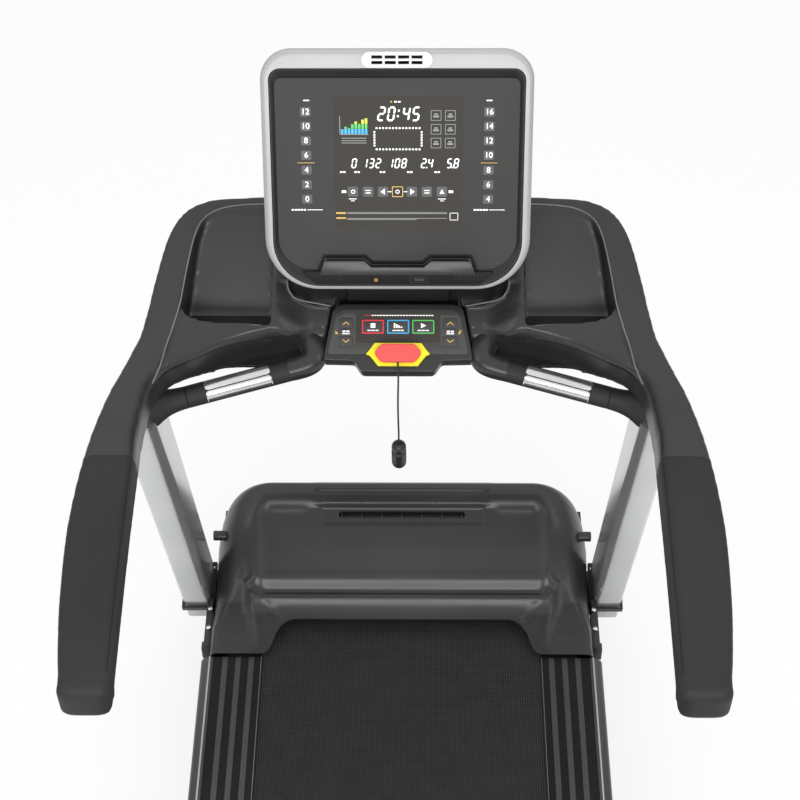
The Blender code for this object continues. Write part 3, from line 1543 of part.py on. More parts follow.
def bezel_outline(inset):
    w = HEAD_WIDTH / 2 - BEZEL_SIDE - inset
    low = -HEAD_HEIGHT / 2 + BEZEL_BOTTOM + inset
    high = HEAD_HEIGHT / 2 - BEZEL_TOP - inset
    top = BEZEL_TOP_RADIUS
    bottom = HEAD_BOTTOM_RADIUS - BEZEL_SIDE - inset
    return rounded([(-w, low), (w, low), (w, high), (-w, high)], (bottom, bottom, top, top), 5)


def panel_outline(inset):
    """The display's glossy window, from under the ledge to the bezel's top."""
    w = HEAD_WIDTH / 2 - BEZEL_SIDE - PANEL_MARGIN - inset
    low = -HEAD_HEIGHT / 2 + PANEL_BOTTOM + inset
    high = HEAD_HEIGHT / 2 - BEZEL_TOP - PANEL_MARGIN - inset
    bottom = PANEL_BOTTOM_RADIUS
    top = PANEL_TOP_RADIUS
    return rounded([(-w, low), (w, low), (w, high), (-w, high)], (bottom, bottom, top, top), 4)


def grille_outline(width, height):
    w, h = width / 2, height / 2
    y = grille_y()
    corners = [(-w, y - h), (w, y - h), (w, y + h), (-w, y + h)]
    return rounded(corners, (GRILLE_CORNER,) * 4, 4)


def grille_y():
    return HEAD_HEIGHT / 2 - GRILLE_DOWN


def head():
    shell = prism("head_shell", [head_outline(0)], -HEAD_DEPTH, 0, HEAD_FRAME, SILVER)
    bevelled(shell, HEAD_EDGE, 2, 50)
    wall = HEAD_WALL
    cut(
        shell,
        prism("head_cavity", [head_outline(wall)], -HEAD_DEPTH + wall, -wall, HEAD_FRAME),
    )
    cut(shell, prism("bezel_window", [bezel_outline(0)], -2 * wall, OVERRUN, HEAD_FRAME))
    y = grille_y()
    window_half = IMPELLER_HALF_LENGTH + 4 * CHEEK_THICKNESS
    window_high = GRILLE_WINDOW_HALF
    cut(
        shell,
        block(
            "grille_window",
            (-window_half, y - window_high, -2 * wall),
            (window_half, y + window_high, OVERRUN),
            frame=HEAD_FRAME,
        ),
    )
    face = -BEZEL_INSET
    bezel = prism("head_bezel", [bezel_outline(GAP)], -BEZEL_DEPTH, face, HEAD_FRAME, CHARCOAL)
    recess = face - PANEL_RECESS
    cut(bezel, prism("panel_recess", [panel_outline(0)], recess, OVERRUN, HEAD_FRAME))
    panel_face = face + PANEL_PROUD
    outline = panel_outline(GAP)
    prism("display_panel", [outline], recess + GAP, panel_face, HEAD_FRAME, GLASS_BLACK)
    ledge_top = -HEAD_HEIGHT / 2 + PANEL_BOTTOM - GAP
    ledge = block(
        "book_ledge",
        (-LEDGE_HALF_WIDTH, ledge_top - LEDGE_DEPTH, face + GAP),
        (LEDGE_HALF_WIDTH, ledge_top, LEDGE_BACK),
        CHARCOAL,
        HEAD_FRAME,
    )
    bevelled(ledge, LEDGE_EDGE, 1)
    for name, side in SIDES:
        x0, x1 = span(LEDGE_TAB_IN, LEDGE_HALF_WIDTH - LEDGE_TAB_MARGIN, side)
        joined(
            ledge,
            block(
                "ledge_tab_" + name,
                (x0, ledge_top - LEDGE_TAB_LOW, LEDGE_TAB_BASE),
                (x1, ledge_top - LEDGE_TAB_HIGH, LEDGE_HEIGHT),
                frame=HEAD_FRAME,
            ),
        )
    fan(y)


def fan(y):
    """Grille on the head's top band, with two cheeks behind it that carry the impeller's shaft."""
    grille = prism(
        "fan_grille",
        [grille_outline(GRILLE_WIDTH, GRILLE_HEIGHT)],
        GAP,
        GRILLE_RISE,
        HEAD_FRAME,
        WHITE,
    )
    for row in (-1, 1):
        for k in range(4):
            x = (k - 1.5) * SLOT_PITCH
            middle = y + row * SLOT_ROW
            cut(
                grille,
                block(
                    f"grille_slot_{row}_{k}",
                    (x - SLOT_WIDTH / 2, middle - SLOT_HEIGHT / 2, -OVERRUN),
                    (x + SLOT_WIDTH / 2, middle + SLOT_HEIGHT / 2, OVERRUN),
                    frame=HEAD_FRAME,
                ),
            )
    shaft_end = IMPELLER_HALF_LENGTH + 2.5 * CHEEK_THICKNESS
    for name, side in SIDES:
        x0 = IMPELLER_HALF_LENGTH + CHEEK_THICKNESS
        x0, x1 = span(x0, x0 + CHEEK_THICKNESS, side)
        joined(
            grille,
            block(
                "fan_cheek_" + name,
                (x0, y - CHEEK_HALF, -IMPELLER_DEPTH - IMPELLER_RADIUS),
                (x1, y + CHEEK_HALF, GRILLE_RISE / 2),
                frame=HEAD_FRAME,
            ),
        )
    start = HEAD_FRAME @ Vector((-shaft_end, y, -IMPELLER_DEPTH))
    end = HEAD_FRAME @ Vector((shaft_end, y, -IMPELLER_DEPTH))
    cut(grille, rod("fan_bore", start, end, IMPELLER_SHAFT_RADIUS + RUNNING_GAP, sides=12))
    half = IMPELLER_HALF_LENGTH
    inner = IMPELLER_SHAFT_RADIUS
    turned(
        "fan_impeller",
        [(0, shaft_end), (inner, shaft_end), (inner, half), (IMPELLER_RADIUS, half)]
        + [(IMPELLER_RADIUS, -half), (inner, -half), (inner, -shaft_end), (0, -shaft_end)],
        HEAD_FRAME @ Vector((0, y, -IMPELLER_DEPTH)),
        (1, 0, 0),
        CHARCOAL,
        12,
    )


# ---- keypad pod ----------------------------------------------------------------------------------

POD_FRAME = frame_at((0, POD_Y, POD_Z), (1, 0, 0), (0, math.cos(POD_TILT), math.sin(POD_TILT)))


def across(bottom, top, height):
    """A symmetrical outline with its own half-width at the bottom and at the top."""
    return [(-bottom, -height), (bottom, -height), (top, height), (-top, height)]


def keypad():
    h = POD_HALF_HEIGHT
    right = [(POD_LIP_HALF - POD_LIP_TAPER, -h - POD_LIP), (POD_LIP_HALF, -h - POD_LIP_SLOPE)]
    right += [(POD_HALF_BOTTOM, -h), (POD_HALF_TOP, h)]
    outline = right + [(-x, y) for x, y in reversed(right)]
    pod = prism("keypad_pod", [outline], -POD_DEPTH, 0, POD_FRAME, CHARCOAL)
    recess = across(RECESS_BOTTOM_HALF, RECESS_TOP_HALF, RECESS_HALF_HEIGHT)
    cut(pod, prism("pod_recess", [recess], -POD_RECESS, OVERRUN, POD_FRAME))
    label = across(LABEL_BOTTOM_HALF, LABEL_TOP_HALF, LABEL_HALF_HEIGHT)
    top = GAP + PANEL_THICKNESS
    panel = prism("keypad_panel", [label], GAP, top, POD_FRAME, GLASS_BLACK)
    for key, (x, y, width, height) in KEYS.items():
        hole_w, hole_h = width / 2 + KEY_CLEARANCE, height / 2 + KEY_CLEARANCE
        cut(
            panel,
            block(
                key + "_hole",
                (x - hole_w, y - hole_h, -OVERRUN),
                (x + hole_w, y + hole_h, OVERRUN),
                frame=POD_FRAME,
            ),
        )
        cap = block(
            key,
            (x - width / 2, y - height / 2, -KEY_FOOT),
            (x + width / 2, y + height / 2, KEY_RISE),
            GLASS_BLACK,
            POD_FRAME,
        )
        origin_at(cap, POD_FRAME @ Vector((x, y, 0)))
    safety_key()


def safety_key():
    """Seat on the pod's lip, the pull-off key, its lanyard and the clip."""
    w, h = SEAT_HALF_WIDTH, SEAT_HALF_HEIGHT
    y = SEAT_Y
    base = GAP + PANEL_THICKNESS + GAP
    inner = SEAT_SHOULDER
    hexagon = [(-w, y), (-inner, y - h), (inner, y - h), (w, y), (inner, y + h), (-inner, y + h)]
    seat = prism("safety_key_seat", [hexagon], base, base + SEAT_THICKNESS, POD_FRAME, YELLOW)
    bevelled(seat, SEAT_EDGE, 1, 30)
    low = base + SEAT_THICKNESS + GAP
    w, h = SAFETY_KEY_WIDTH / 2, SAFETY_KEY_HEIGHT / 2
    corners = [(-w, y - h), (w, y - h), (w, y + h), (-w, y + h)]
    outline = rounded(corners, (SAFETY_KEY_CORNER,) * 4, 3)
    key = prism("safety_key", [outline], low, low + SAFETY_KEY_THICKNESS, POD_FRAME, RED)
    bevelled(key, SAFETY_KEY_EDGE, 1, 50)
    origin_at(key, POD_FRAME @ Vector((0, y, low)))
    exit_point = POD_FRAME @ Vector((0, y - h - GAP, low + SAFETY_KEY_THICKNESS / 2))
    tube("lanyard_cord", lanyard_points(exit_point), LANYARD_RADIUS, BLACK_STEEL)
    x, y, z = LANYARD_ROUTE[-1]
    top = exit_point.z - z
    turned(
        "lanyard_clip",
        [
            (0, 0),
            (CLIP_END_RADIUS, 0),
            (CLIP_RADIUS, -CLIP_SHOULDER),
            (CLIP_RADIUS, -CLIP_LENGTH + CLIP_SHOULDER),
            (CLIP_END_RADIUS, -CLIP_LENGTH),
            (0, -CLIP_LENGTH),
        ],
        (exit_point.x + x, exit_point.y - y, top - GAP),
        (0, 0, 1),
        CHARCOAL,
        16,
    )


def lanyard_points(start, spacing=0.007):
    """The route as a smooth curve (Catmull-Rom), read off about every two diameters."""
    route = [Vector((start.x + x, start.y - y, start.z - z)) for x, y, z in LANYARD_ROUTE]
    points = [route[0]]
    for k in range(len(route) - 1):
        p0 = route[max(k - 1, 0)]
        p1, p2 = route[k], route[k + 1]
        p3 = route[min(k + 2, len(route) - 1)]
        pieces = max(1, round((p2 - p1).length / spacing))
        for j in range(1, pieces + 1):
            t = j / pieces
            point = 0.5 * (
                2 * p1
                + (p2 - p0) * t
                + (2 * p0 - 5 * p1 + 4 * p2 - p3) * t * t
                + (3 * p1 - p0 - 3 * p2 + p3) * t * t * t
            )
            points.append(point)
    return points


# ---- pulse grips ---------------------------------------------------------------------------------


def grips():
    for name, side in SIDES:
        outer = Vector((side * GRIP_OUTER[0], GRIP_OUTER[1], GRIP_OUTER[2]))
        inner = Vector((side * GRIP_INNER[0], GRIP_INNER[1], GRIP_INNER[2]))
        length = (inner - outer).length
        turned(
            "grip_bar_" + name,
            [
                (0, length),
                (GRIP_RADIUS, length),
                (GRIP_RADIUS, FLARE_LENGTH),
                (FLARE_WAIST_RADIUS, FLARE_WAIST),
                (FLARE_RADIUS, 0),
                (0, 0),
            ],
            outer,
            inner - outer,
            CHARCOAL,
            20,
        )
        sleeve = GRIP_RADIUS + GAP
        along = (inner - outer).normalized()
        plate = turned(
            "pulse_plate_" + name,
            [
                (sleeve, PLATE_SPAN),
                (sleeve + PLATE_WRAP, PLATE_SPAN),
                (sleeve + PLATE_WRAP, 0),
                (sleeve, 0),
                (sleeve, PLATE_SPAN),
            ],
            outer + along * PLATE_START,
            along,
            STEEL,
            20,
        )
        frame = frame_at(outer, along, Vector((0, 0, 1)) - along * along.z)
        cut(
            plate,
            block(
                "plate_trim_" + name,
                (0, -2 * FLARE_RADIUS, -2 * FLARE_RADIUS),
                (length, PLATE_TRIM, 2 * FLARE_RADIUS),
                frame=frame,
            ),
        )


floor_frame()
incline_drive()
deck_frame()
running_surface()
foot_rails()
drive()
hood()
uprights()
sleeves()
tray()
head()
keypad()
grips()
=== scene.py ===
"""The treadmill dressed for show: every piece's finish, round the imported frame.

Metres, in the frame's own axes: +X to the user's right, +Y forward to the console, +Z up.
"""

import math

import bpy
import numpy as np
from mathutils import Matrix, Vector


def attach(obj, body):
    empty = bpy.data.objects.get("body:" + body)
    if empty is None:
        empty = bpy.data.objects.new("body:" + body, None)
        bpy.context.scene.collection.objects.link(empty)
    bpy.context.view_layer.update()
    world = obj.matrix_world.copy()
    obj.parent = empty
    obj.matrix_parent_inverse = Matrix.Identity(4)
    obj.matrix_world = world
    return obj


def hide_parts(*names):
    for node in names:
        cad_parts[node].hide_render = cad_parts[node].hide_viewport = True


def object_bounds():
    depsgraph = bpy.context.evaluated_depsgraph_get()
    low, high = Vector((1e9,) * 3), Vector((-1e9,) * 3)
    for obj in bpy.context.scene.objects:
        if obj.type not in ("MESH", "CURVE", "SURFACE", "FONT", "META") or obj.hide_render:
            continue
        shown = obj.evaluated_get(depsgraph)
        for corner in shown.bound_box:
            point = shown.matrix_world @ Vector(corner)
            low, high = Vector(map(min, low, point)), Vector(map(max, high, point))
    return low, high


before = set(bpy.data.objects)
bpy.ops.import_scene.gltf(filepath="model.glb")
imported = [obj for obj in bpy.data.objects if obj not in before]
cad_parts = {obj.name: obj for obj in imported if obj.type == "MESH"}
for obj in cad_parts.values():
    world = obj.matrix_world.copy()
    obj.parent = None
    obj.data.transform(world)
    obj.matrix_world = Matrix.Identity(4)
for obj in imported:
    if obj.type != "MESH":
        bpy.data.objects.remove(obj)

cad_low, cad_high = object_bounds()
SIDES = (("left", -1), ("right", 1))
WHITE = (1.0, 1.0, 1.0, 1.0)


def feed(tree, target, *values, **inputs):
    """A node's inputs fed in order or by name: an output is linked, another value is set."""
    for key, value in [*enumerate(values), *inputs.items()]:
        socket = target.inputs[key.replace("_", " ") if isinstance(key, str) else key]
        if isinstance(value, bpy.types.NodeSocket):
            tree.links.new(value, socket)
        else:
            socket.default_value = value
    return target


def node(tree, kind, *values, **inputs):
    return feed(tree, tree.nodes.new("ShaderNode" + kind), *values, **inputs)


def reckoned(tree, operation, *values):
    """What a maths node makes of the values."""
    step = node(tree, "Math", *values)
    step.operation = operation
    return step.outputs[0]


# ---- studio --------------------------------------------------------------------------------------
# The camera stands behind the user's place and looks down on the console. A pale floor, an even
# world that dims towards the ground and four soft lamps light the machine.

CAMERA_PLACE = (0.0352, -1.4, 3.134)
CAMERA_PITCH, CAMERA_YAW, CAMERA_ROLL = (math.radians(angle) for angle in (48.6, 0.975, -0.621))
CAMERA_LENS, CAMERA_SENSOR, CAMERA_FAR = 79.3, 36, 60
# place, target, size and power
LAMPS = {
    "lamp_overhead": ((0.0, 1.3, 3.4), (0.0, 0.3, 0.7), (2.4, 1.2), 16),
    "lamp_left": ((-2.5, -0.6, 2.7), (0.0, 0.4, 0.8), (0.6, 2.4), 9),
    "lamp_right": ((2.5, -0.6, 2.7), (0.0, 0.4, 0.8), (0.6, 2.4), 9),
    "lamp_user": ((0.0, -2.8, 2.35), (0.0, 0.5, 0.5), (3.0, 0.8), 56),
}
FLOOR_SIZE, FLOOR_DROP = 14.0, 0.0005
FLOOR_PALE, FLOOR_ROUGHNESS, FLOOR_GLOW = (0.86, 0.86, 0.86, 1.0), 0.9, 0.8

bpy.context.scene.view_settings.view_transform = "Standard"
bpy.ops.object.camera_add(location=CAMERA_PLACE)
camera = bpy.context.object
turn = Matrix.Rotation(CAMERA_YAW, 3, "Z") @ Matrix.Rotation(math.pi / 2 - CAMERA_PITCH, 3, "X")
camera.rotation_euler = (turn @ Matrix.Rotation(CAMERA_ROLL, 3, "Z")).to_euler()
camera.data.lens = CAMERA_LENS
camera.data.sensor_width = CAMERA_SENSOR
camera.data.clip_end = CAMERA_FAR
bpy.context.scene.camera = camera

for name, (place, target, size, power) in LAMPS.items():
    bpy.ops.object.light_add(type="AREA", location=place)
    lamp = bpy.context.object
    lamp.name = name
    lamp.data.shape = "RECTANGLE"
    lamp.data.size, lamp.data.size_y = size
    lamp.data.energy = power
    lamp.visible_glossy = name != "lamp_overhead"
    lamp.rotation_euler = (Vector(target) - Vector(place)).to_track_quat("-Z", "Y").to_euler()


def seen_white(tree, lit, seen, output):
    """One look to the camera and through glass, and the lit surface or light to the rest."""
    path = node(tree, "LightPath").outputs
    either = reckoned(tree, "MAXIMUM", path["Is Camera Ray"], path["Is Transmission Ray"])
    feed(tree, tree.nodes[output], Surface=node(tree, "MixShader", either, lit, seen).outputs[0])


world = bpy.data.worlds.new("studio")
bpy.context.scene.world = world
world.use_nodes = True
tree = world.node_tree
# the light falls off from the zenith to the ground, which gives the forms their shade
height = node(tree, "SeparateXYZ", node(tree, "TexCoord").outputs["Generated"]).outputs["Z"]
fall = node(tree, "MapRange", Value=height, From_Min=-0.6, From_Max=0.9, To_Min=0.1, To_Max=1.0)
soft = feed(tree, tree.nodes["Background"], Color=WHITE, Strength=fall.outputs["Result"])
bright = node(tree, "Background", Color=WHITE, Strength=1.0)
seen_white(tree, soft.outputs[0], bright.outputs[0], "World Output")

bpy.ops.mesh.primitive_plane_add(size=FLOOR_SIZE, location=(0, 0, cad_low.z - FLOOR_DROP))
floor = bpy.context.object
floor.name = "studio_floor"
floor_paint = bpy.data.materials.new("floor_paint")
floor_paint.use_nodes = True
tree = floor_paint.node_tree
paint = feed(tree, tree.nodes["Principled BSDF"], Base_Color=FLOOR_PALE, Roughness=FLOOR_ROUGHNESS)
lit = paint.outputs[0]
# the shadow stays: a share of the lit floor shows through the white
glow = node(tree, "Emission", Strength=1.0).outputs[0]
share = node(tree, "MixShader", FLOOR_GLOW, lit, glow).outputs[0]
seen_white(tree, lit, share, "Material Output")
floor.data.materials.append(floor_paint)

# ---- lanyard -------------------------------------------------------------------------------------
# A thin braided cord from the safety key's lower edge to a spring clip for the user's clothes. It
# hangs straight under the clip's weight, and its last 14 mm are knotted inside the clip.

LANYARD_EXIT = Vector((0.0, 0.50445, 1.06453))
LANYARD_DIAMETER = 0.003
# across, out towards the user, and down
LANYARD_ROUTE = [(0.0, 0.0, 0.0), (0.0, 0.005, 0.0022), (0.0002, 0.0095, 0.0062)]
LANYARD_ROUTE += [(0.0005, 0.0122, 0.012), (0.0006, 0.0134, 0.019), (0.0006, 0.0138, 0.028)]
LANYARD_ROUTE += [(0.0004, 0.0139, 0.04)]
LANYARD_ROUTE += [(0.0001, 0.0139, 0.054), (-0.0002, 0.0139, 0.068), (-0.0004, 0.0139, 0.084)]
LANYARD_ROUTE += [(-0.0004, 0.0139, 0.1), (-0.0003, 0.0139, 0.116), (-0.0001, 0.0139, 0.132)]
LANYARD_ROUTE += [(0.0002, 0.0139, 0.148), (0.0003, 0.0139, 0.165), (0.0003, 0.0139, 0.182)]
LANYARD_ROUTE += [(0.0003, 0.0139, 0.196)]
CLIP_RADIUS = 0.0125
CLIP_LENGTH = 0.06
CLIP_TOP = Vector((0.0003, -0.0139, -0.1823))


def material_on(name):
    """A new material, its tree and its Object coordinates."""
    material = bpy.data.materials.new(name)
    material.use_nodes = True
    tree = material.node_tree
    return material, tree, node(tree, "TexCoord").outputs["Object"]


def ramp(tree, share, *stops):
    """A colour read off between stops of a place and a colour."""
    tone = node(tree, "ValToRGB", Fac=share)
    for element, (at, colour) in zip(tone.color_ramp.elements, stops):
        element.position, element.color = at, (*colour, 1.0)
    return tone.outputs["Color"]


def surfaced(tree, tone, gloss_from, gloss, height, depth, strength, sockets):
    """The tone, a shine that varies between two values, and a bump of that depth."""
    shine = node(tree, "MapRange", Value=gloss_from, To_Min=gloss[0], To_Max=gloss[1]).outputs["Result"]
    bump = node(tree, "Bump", Height=height, Distance=depth, Strength=strength).outputs["Normal"]
    shader = tree.nodes["Principled BSDF"]
    feed(tree, shader, Base_Color=tone, Roughness=shine, Normal=bump, **sockets)


def finish(name, dark, light, roughness, grain, depth, cloud=5.0, lines=None, **sockets):
    """A surface whose tone drifts between two near colours, with a fine moulded or cast grain.

    grain is the grains to a metre, and depth is their height in metres. Turned or brushed steel
    has its grain drawn out into lines along one axis.
    """
    material, tree, place = material_on(name)
    drift = node(tree, "TexNoise", Vector=place, Scale=cloud, Detail=3.0).outputs["Fac"]
    if lines:
        drawn_out = [0.02 if axis == lines else 1.0 for axis in "XYZ"]
        place = node(tree, "Mapping", Vector=place, Scale=drawn_out).outputs["Vector"]
    speck = node(tree, "TexNoise", Vector=place, Scale=grain, Detail=2.0).outputs["Fac"]
    tone = ramp(tree, drift, (0.35, dark), (0.65, light))
    gloss = (max(roughness - 0.05, 0.02), roughness + 0.05)
    surfaced(tree, tone, drift, gloss, speck, depth, 0.5, sockets)
    return material


def only(*objects):
    """These objects alone selected, and the first one active."""
    bpy.ops.object.select_all(action="DESELECT")
    for obj in objects:
        obj.select_set(True)
    bpy.context.view_layer.objects.active = objects[0]
    return objects[0]


def joined(pieces, name):
    """Pieces joined into the first, under one name."""
    only(*pieces)
    bpy.ops.object.join()
    pieces[0].name = name
    return pieces[0]


def modified(obj, kind, **settings):
    """obj with one modifier set and applied."""
    change = only(obj).modifiers.new(kind.lower(), kind)
    for key, value in settings.items():
        setattr(change, key, value)
    bpy.ops.object.modifier_apply(modifier=change.name)
    return obj


def smoothed(obj, angle):
    """obj with its faces smooth up to that angle in degrees."""
    only(obj)
    bpy.ops.object.shade_smooth_by_angle(angle=math.radians(angle))
    return obj


def rounded_off(obj, width, segments, angle):
    """obj with its edges above that angle rounded."""
    least = math.radians(angle)
    modified(obj, "BEVEL", width=width, segments=segments, limit_method="ANGLE", angle_limit=least)
    return smoothed(obj, 35)


def placed(obj, material, stands_for=None, at=None, body="base"):
    """A finished piece: its place in its mesh, its material, and the body that it rides on."""
    if at is not None:
        obj.matrix_world = at
    only(obj)
    bpy.ops.object.transform_apply(location=True, rotation=True, scale=True)
    obj.data.materials.clear()
    obj.data.materials.append(material)
    if stands_for:
        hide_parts(stands_for)
    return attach(obj, body)


def along(route, spacing):
    """A route's points joined by one smooth curve through them, read off at a spacing."""
    points = [route[0]]
    for k in range(len(route) - 1):
        p0 = route[max(k - 1, 0)]
        p1, p2 = route[k], route[k + 1]
        p3 = route[min(k + 2, len(route) - 1)]
        pieces = max(1, round((p2 - p1).length / spacing))
        for j in range(1, pieces + 1):
            t = j / pieces
            cubic = 3 * p1 - p0 - 3 * p2 + p3
            square = 2 * p0 - 5 * p1 + 4 * p2 - p3
            points.append(0.5 * (2 * p1 + (p2 - p0) * t + square * t * t + cubic * t * t * t))
    return points


def turns(count):
    return [2 * math.pi * k / count for k in range(count)]


def faces_outward():
    """The active mesh's faces turned outward, which ends its time in edit mode."""
    bpy.ops.mesh.select_all(action="SELECT")
    bpy.ops.mesh.normals_make_consistent(inside=False)
    bpy.ops.object.mode_set(mode="OBJECT")


def lofted(name, rings):
    """Rings of equally many points joined in order: a grid rolled up, its ends filled."""
    count, last = len(rings[0]), len(rings) - 1
    bpy.ops.mesh.primitive_grid_add(x_subdivisions=count, y_subdivisions=last, size=2)
    obj = bpy.context.object
    obj.name = name
    for vertex in obj.data.vertices:
        column = round((vertex.co.x + 1) / 2 * count) % count
        vertex.co = rings[round((vertex.co.y + 1) / 2 * last)][column]
    bpy.ops.object.mode_set(mode="EDIT")
    bpy.ops.mesh.select_all(action="SELECT")
    bpy.ops.mesh.remove_doubles(threshold=1e-6)
    bpy.ops.mesh.fill_holes(sides=0)
    faces_outward()
    return obj


braid = finish("braided_cord", (0.012, 0.012, 0.012), (0.03, 0.03, 0.03), 0.75, 1800, 0.0004)
hard_black = finish(
    "hard_black_plastic", (0.02, 0.02, 0.021), (0.028, 0.028, 0.029), 0.35, 1500, 0.00004
)

route = [LANYARD_EXIT + Vector((x, -y, -z)) for x, y, z in LANYARD_ROUTE]
points = along(route, 2.5 * LANYARD_DIAMETER)
line = bpy.data.curves.new("lanyard", "CURVE")
line.dimensions = "3D"
line.bevel_depth = LANYARD_DIAMETER / 2
line.bevel_resolution = 4
line.use_fill_caps = True
spline = line.splines.new("POLY")
spline.points.add(len(points) - 1)
for point, place in zip(spline.points, points):
    point.co = (*place, 1)
line.materials.append(braid)
lanyard = bpy.data.objects.new("lanyard", line)
bpy.context.scene.collection.objects.link(lanyard)

# a round-ended body with a drawn-in band near its top, where the spring jaw turns
end_round = [(0.0002, 0.003), (0.001, 0.0062), (0.0028, 0.0092), (0.006, 0.0114), (0.01, 0.0123)]
clip_profile = end_round + [(0.0116, 0.0124), (0.0122, 0.0117), (0.02, 0.0117), (0.0206, 0.0124)]
clip_profile += [(0.0212, 0.0125), (0.0216, 0.0121), (0.022, 0.0125), (0.04, CLIP_RADIUS)]
clip_profile += [(CLIP_LENGTH - at, r) for at, r in reversed(end_round)]
rings = []
for at, r in clip_profile:
    middle = LANYARD_EXIT + CLIP_TOP - Vector((0, 0, at))
    rings.append([middle + Vector((r * math.cos(a), r * math.sin(a), 0)) for a in turns(40)])
clip = smoothed(lofted("lanyard_clip_body", rings), 40)
placed(clip, hard_black, "lanyard_clip", body="safety_key")

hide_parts("lanyard_cord")
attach(lanyard, "safety_key")

# ---- running belt --------------------------------------------------------------------------------
# An endless loop of two-ply PVC belting over both rollers. Its face is embossed with a fine square
# weave, and its edges are cut plain.

BELT_SQUARE, BELT_GRAIN = 0.0045, 0.0006

belting, tree, place = material_on("belting")
threads = []
for direction in ("X", "Y"):
    scale = math.pi / (10 * BELT_SQUARE)
    wave = node(tree, "TexWave", Vector=place, Scale=scale, Distortion=0.15, Detail=0.0)
    wave.bands_direction = direction
    threads.append(wave.outputs["Fac"])
weave = reckoned(tree, "MULTIPLY", *threads)
dust = node(tree, "TexNoise", Vector=place, Scale=40.0, Detail=5.0).outputs["Fac"]
worn = reckoned(tree, "MULTIPLY_ADD", weave, 0.8, reckoned(tree, "MULTIPLY", dust, 0.3))
tone = ramp(tree, worn, (0.12, (0.008, 0.008, 0.008)), (0.75, (0.045, 0.045, 0.045)))
surfaced(tree, tone, dust, (0.72, 0.9), weave, BELT_GRAIN, 0.7, {"Specular_IOR_Level": 0.25})


def dressed(material, *starts):
    """CAD nodes whose names start so keep their mesh, which is right, and get their finish."""
    for name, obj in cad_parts.items():
        if name.startswith(starts):
            obj.material_slots[0].material = material


dressed(belting, "running_belt")

# ---- frame steel, rollers and drive --------------------------------------------------------------
# Welded square tube, powder-coated black with a slight orange peel. The rollers are turned steel,
# the motors cast and painted, and the board is phenolic-faced fibreboard.

powder_coat = finish(
    "black_powder_coat", (0.018, 0.018, 0.019), (0.03, 0.03, 0.031), 0.45, 420, 0.00025
)
dressed(powder_coat, "base_", "deck_beam_", "motor_pan", "upright_crossbar", "lift_arm")
turned_steel = finish(
    "turned_steel", (0.42, 0.42, 0.43), (0.58, 0.58, 0.59), 0.3, 900, 0.00003, 9.0, "Z", Metallic=1.0
)
dressed(turned_steel, "front_roller", "rear_roller", "motor_rotor", "lift_screw")
cast_paint = finish("motor_paint", (0.075, 0.075, 0.08), (0.12, 0.12, 0.125), 0.5, 300, 0.0004)
dressed(cast_paint, "drive_motor", "incline_motor")
foam_rubber = finish("moulded_rubber", (0.016, 0.016, 0.016), (0.03, 0.03, 0.03), 0.8, 900, 0.0003)
dressed(foam_rubber, "drive_belt", "foot_front", "foot_rear", "transport_wheel")
phenolic = finish("phenolic_board", (0.016, 0.011, 0.008), (0.028, 0.02, 0.014), 0.5, 700, 0.0002, 22.0)
dressed(phenolic, "running_board")

# ---- charcoal mouldings --------------------------------------------------------------------------
# The covers are injection-moulded ABS in one charcoal, with a fine spark-eroded grain. The other
# finishes of the covers, grips and keys stand here too.

deep_black = finish(
    "deep_black", (0.006, 0.006, 0.006), (0.009, 0.009, 0.009), 0.5, 1100, 0.00004,
    Specular_IOR_Level=0.25,
)
moulding = finish("charcoal_moulding", (0.02, 0.02, 0.021), (0.027, 0.027, 0.028), 0.3, 1100, 0.0001)
darker_moulding = finish(
    "dark_moulding", (0.017, 0.017, 0.018), (0.024, 0.024, 0.025), 0.38, 1100, 0.0001,
    Specular_IOR_Level=0.3,
)
# a pale grey for thin strips that paint the highlight along edges
painted_highlight = finish("painted_edge_highlight", (0.13, 0.13, 0.13), (0.17, 0.17, 0.17), 0.25, 1100, 0.00004)
soft_rubber = finish("grip_rubber", (0.009, 0.009, 0.0095), (0.014, 0.014, 0.0145), 0.62, 1400, 0.00025)
silver = finish(
    "silver_paint", (0.4, 0.4, 0.41), (0.45, 0.45, 0.46), 0.38, 600, 0.00006, Metallic=0.2
)
pale_paint = finish(
    "pale_grey_paint", (0.62, 0.63, 0.64), (0.7, 0.71, 0.72), 0.2, 500, 0.00002, Metallic=0.8
)
white = finish("white_moulding", (0.72, 0.72, 0.72), (0.8, 0.8, 0.8), 0.4, 1100, 0.00008)
overlay_film = finish(
    "overlay_film", (0.058, 0.057, 0.056), (0.064, 0.063, 0.062), 0.34, 1600, 0.000005
)
glass = finish(
    "tinted_glass", (0.062, 0.061, 0.06), (0.068, 0.067, 0.066), 0.3, 1600, 0.000005,
    Specular_IOR_Level=0.05,
)
plate_steel = finish(
    "pulse_plate_steel", (0.62, 0.62, 0.62), (0.78, 0.78, 0.78), 0.25, 900, 0.00003, 9.0, "X",
    Metallic=1.0,
)
yellow = finish("yellow_moulding", (0.93, 0.84, 0.01), (0.98, 0.89, 0.02), 0.4, 1100, 0.00008)
red = finish("red_moulding", (0.86, 0.085, 0.075), (0.92, 0.105, 0.095), 0.4, 1100, 0.00008)
dressed(moulding, "rear_cover", "tray_underside")
dressed(darker_moulding, "upright_collar_", "fan_impeller")
dressed(white, "fan_grille")

# ---- console tray and arms -----------------------------------------------------------------------
# One large moulding: a tub for a bottle each side, a sloping middle with the head's neck, and two
# arms that run back over the steel handrails. Its outer rim stands a little over the inner slope,
# and the front wall has a soft shoulder over a hollow crease.

CONSOLE_Y = 0.62
SEAM_Y = CONSOLE_Y - 0.329
SLEEVE_END_Y = CONSOLE_Y - 0.707
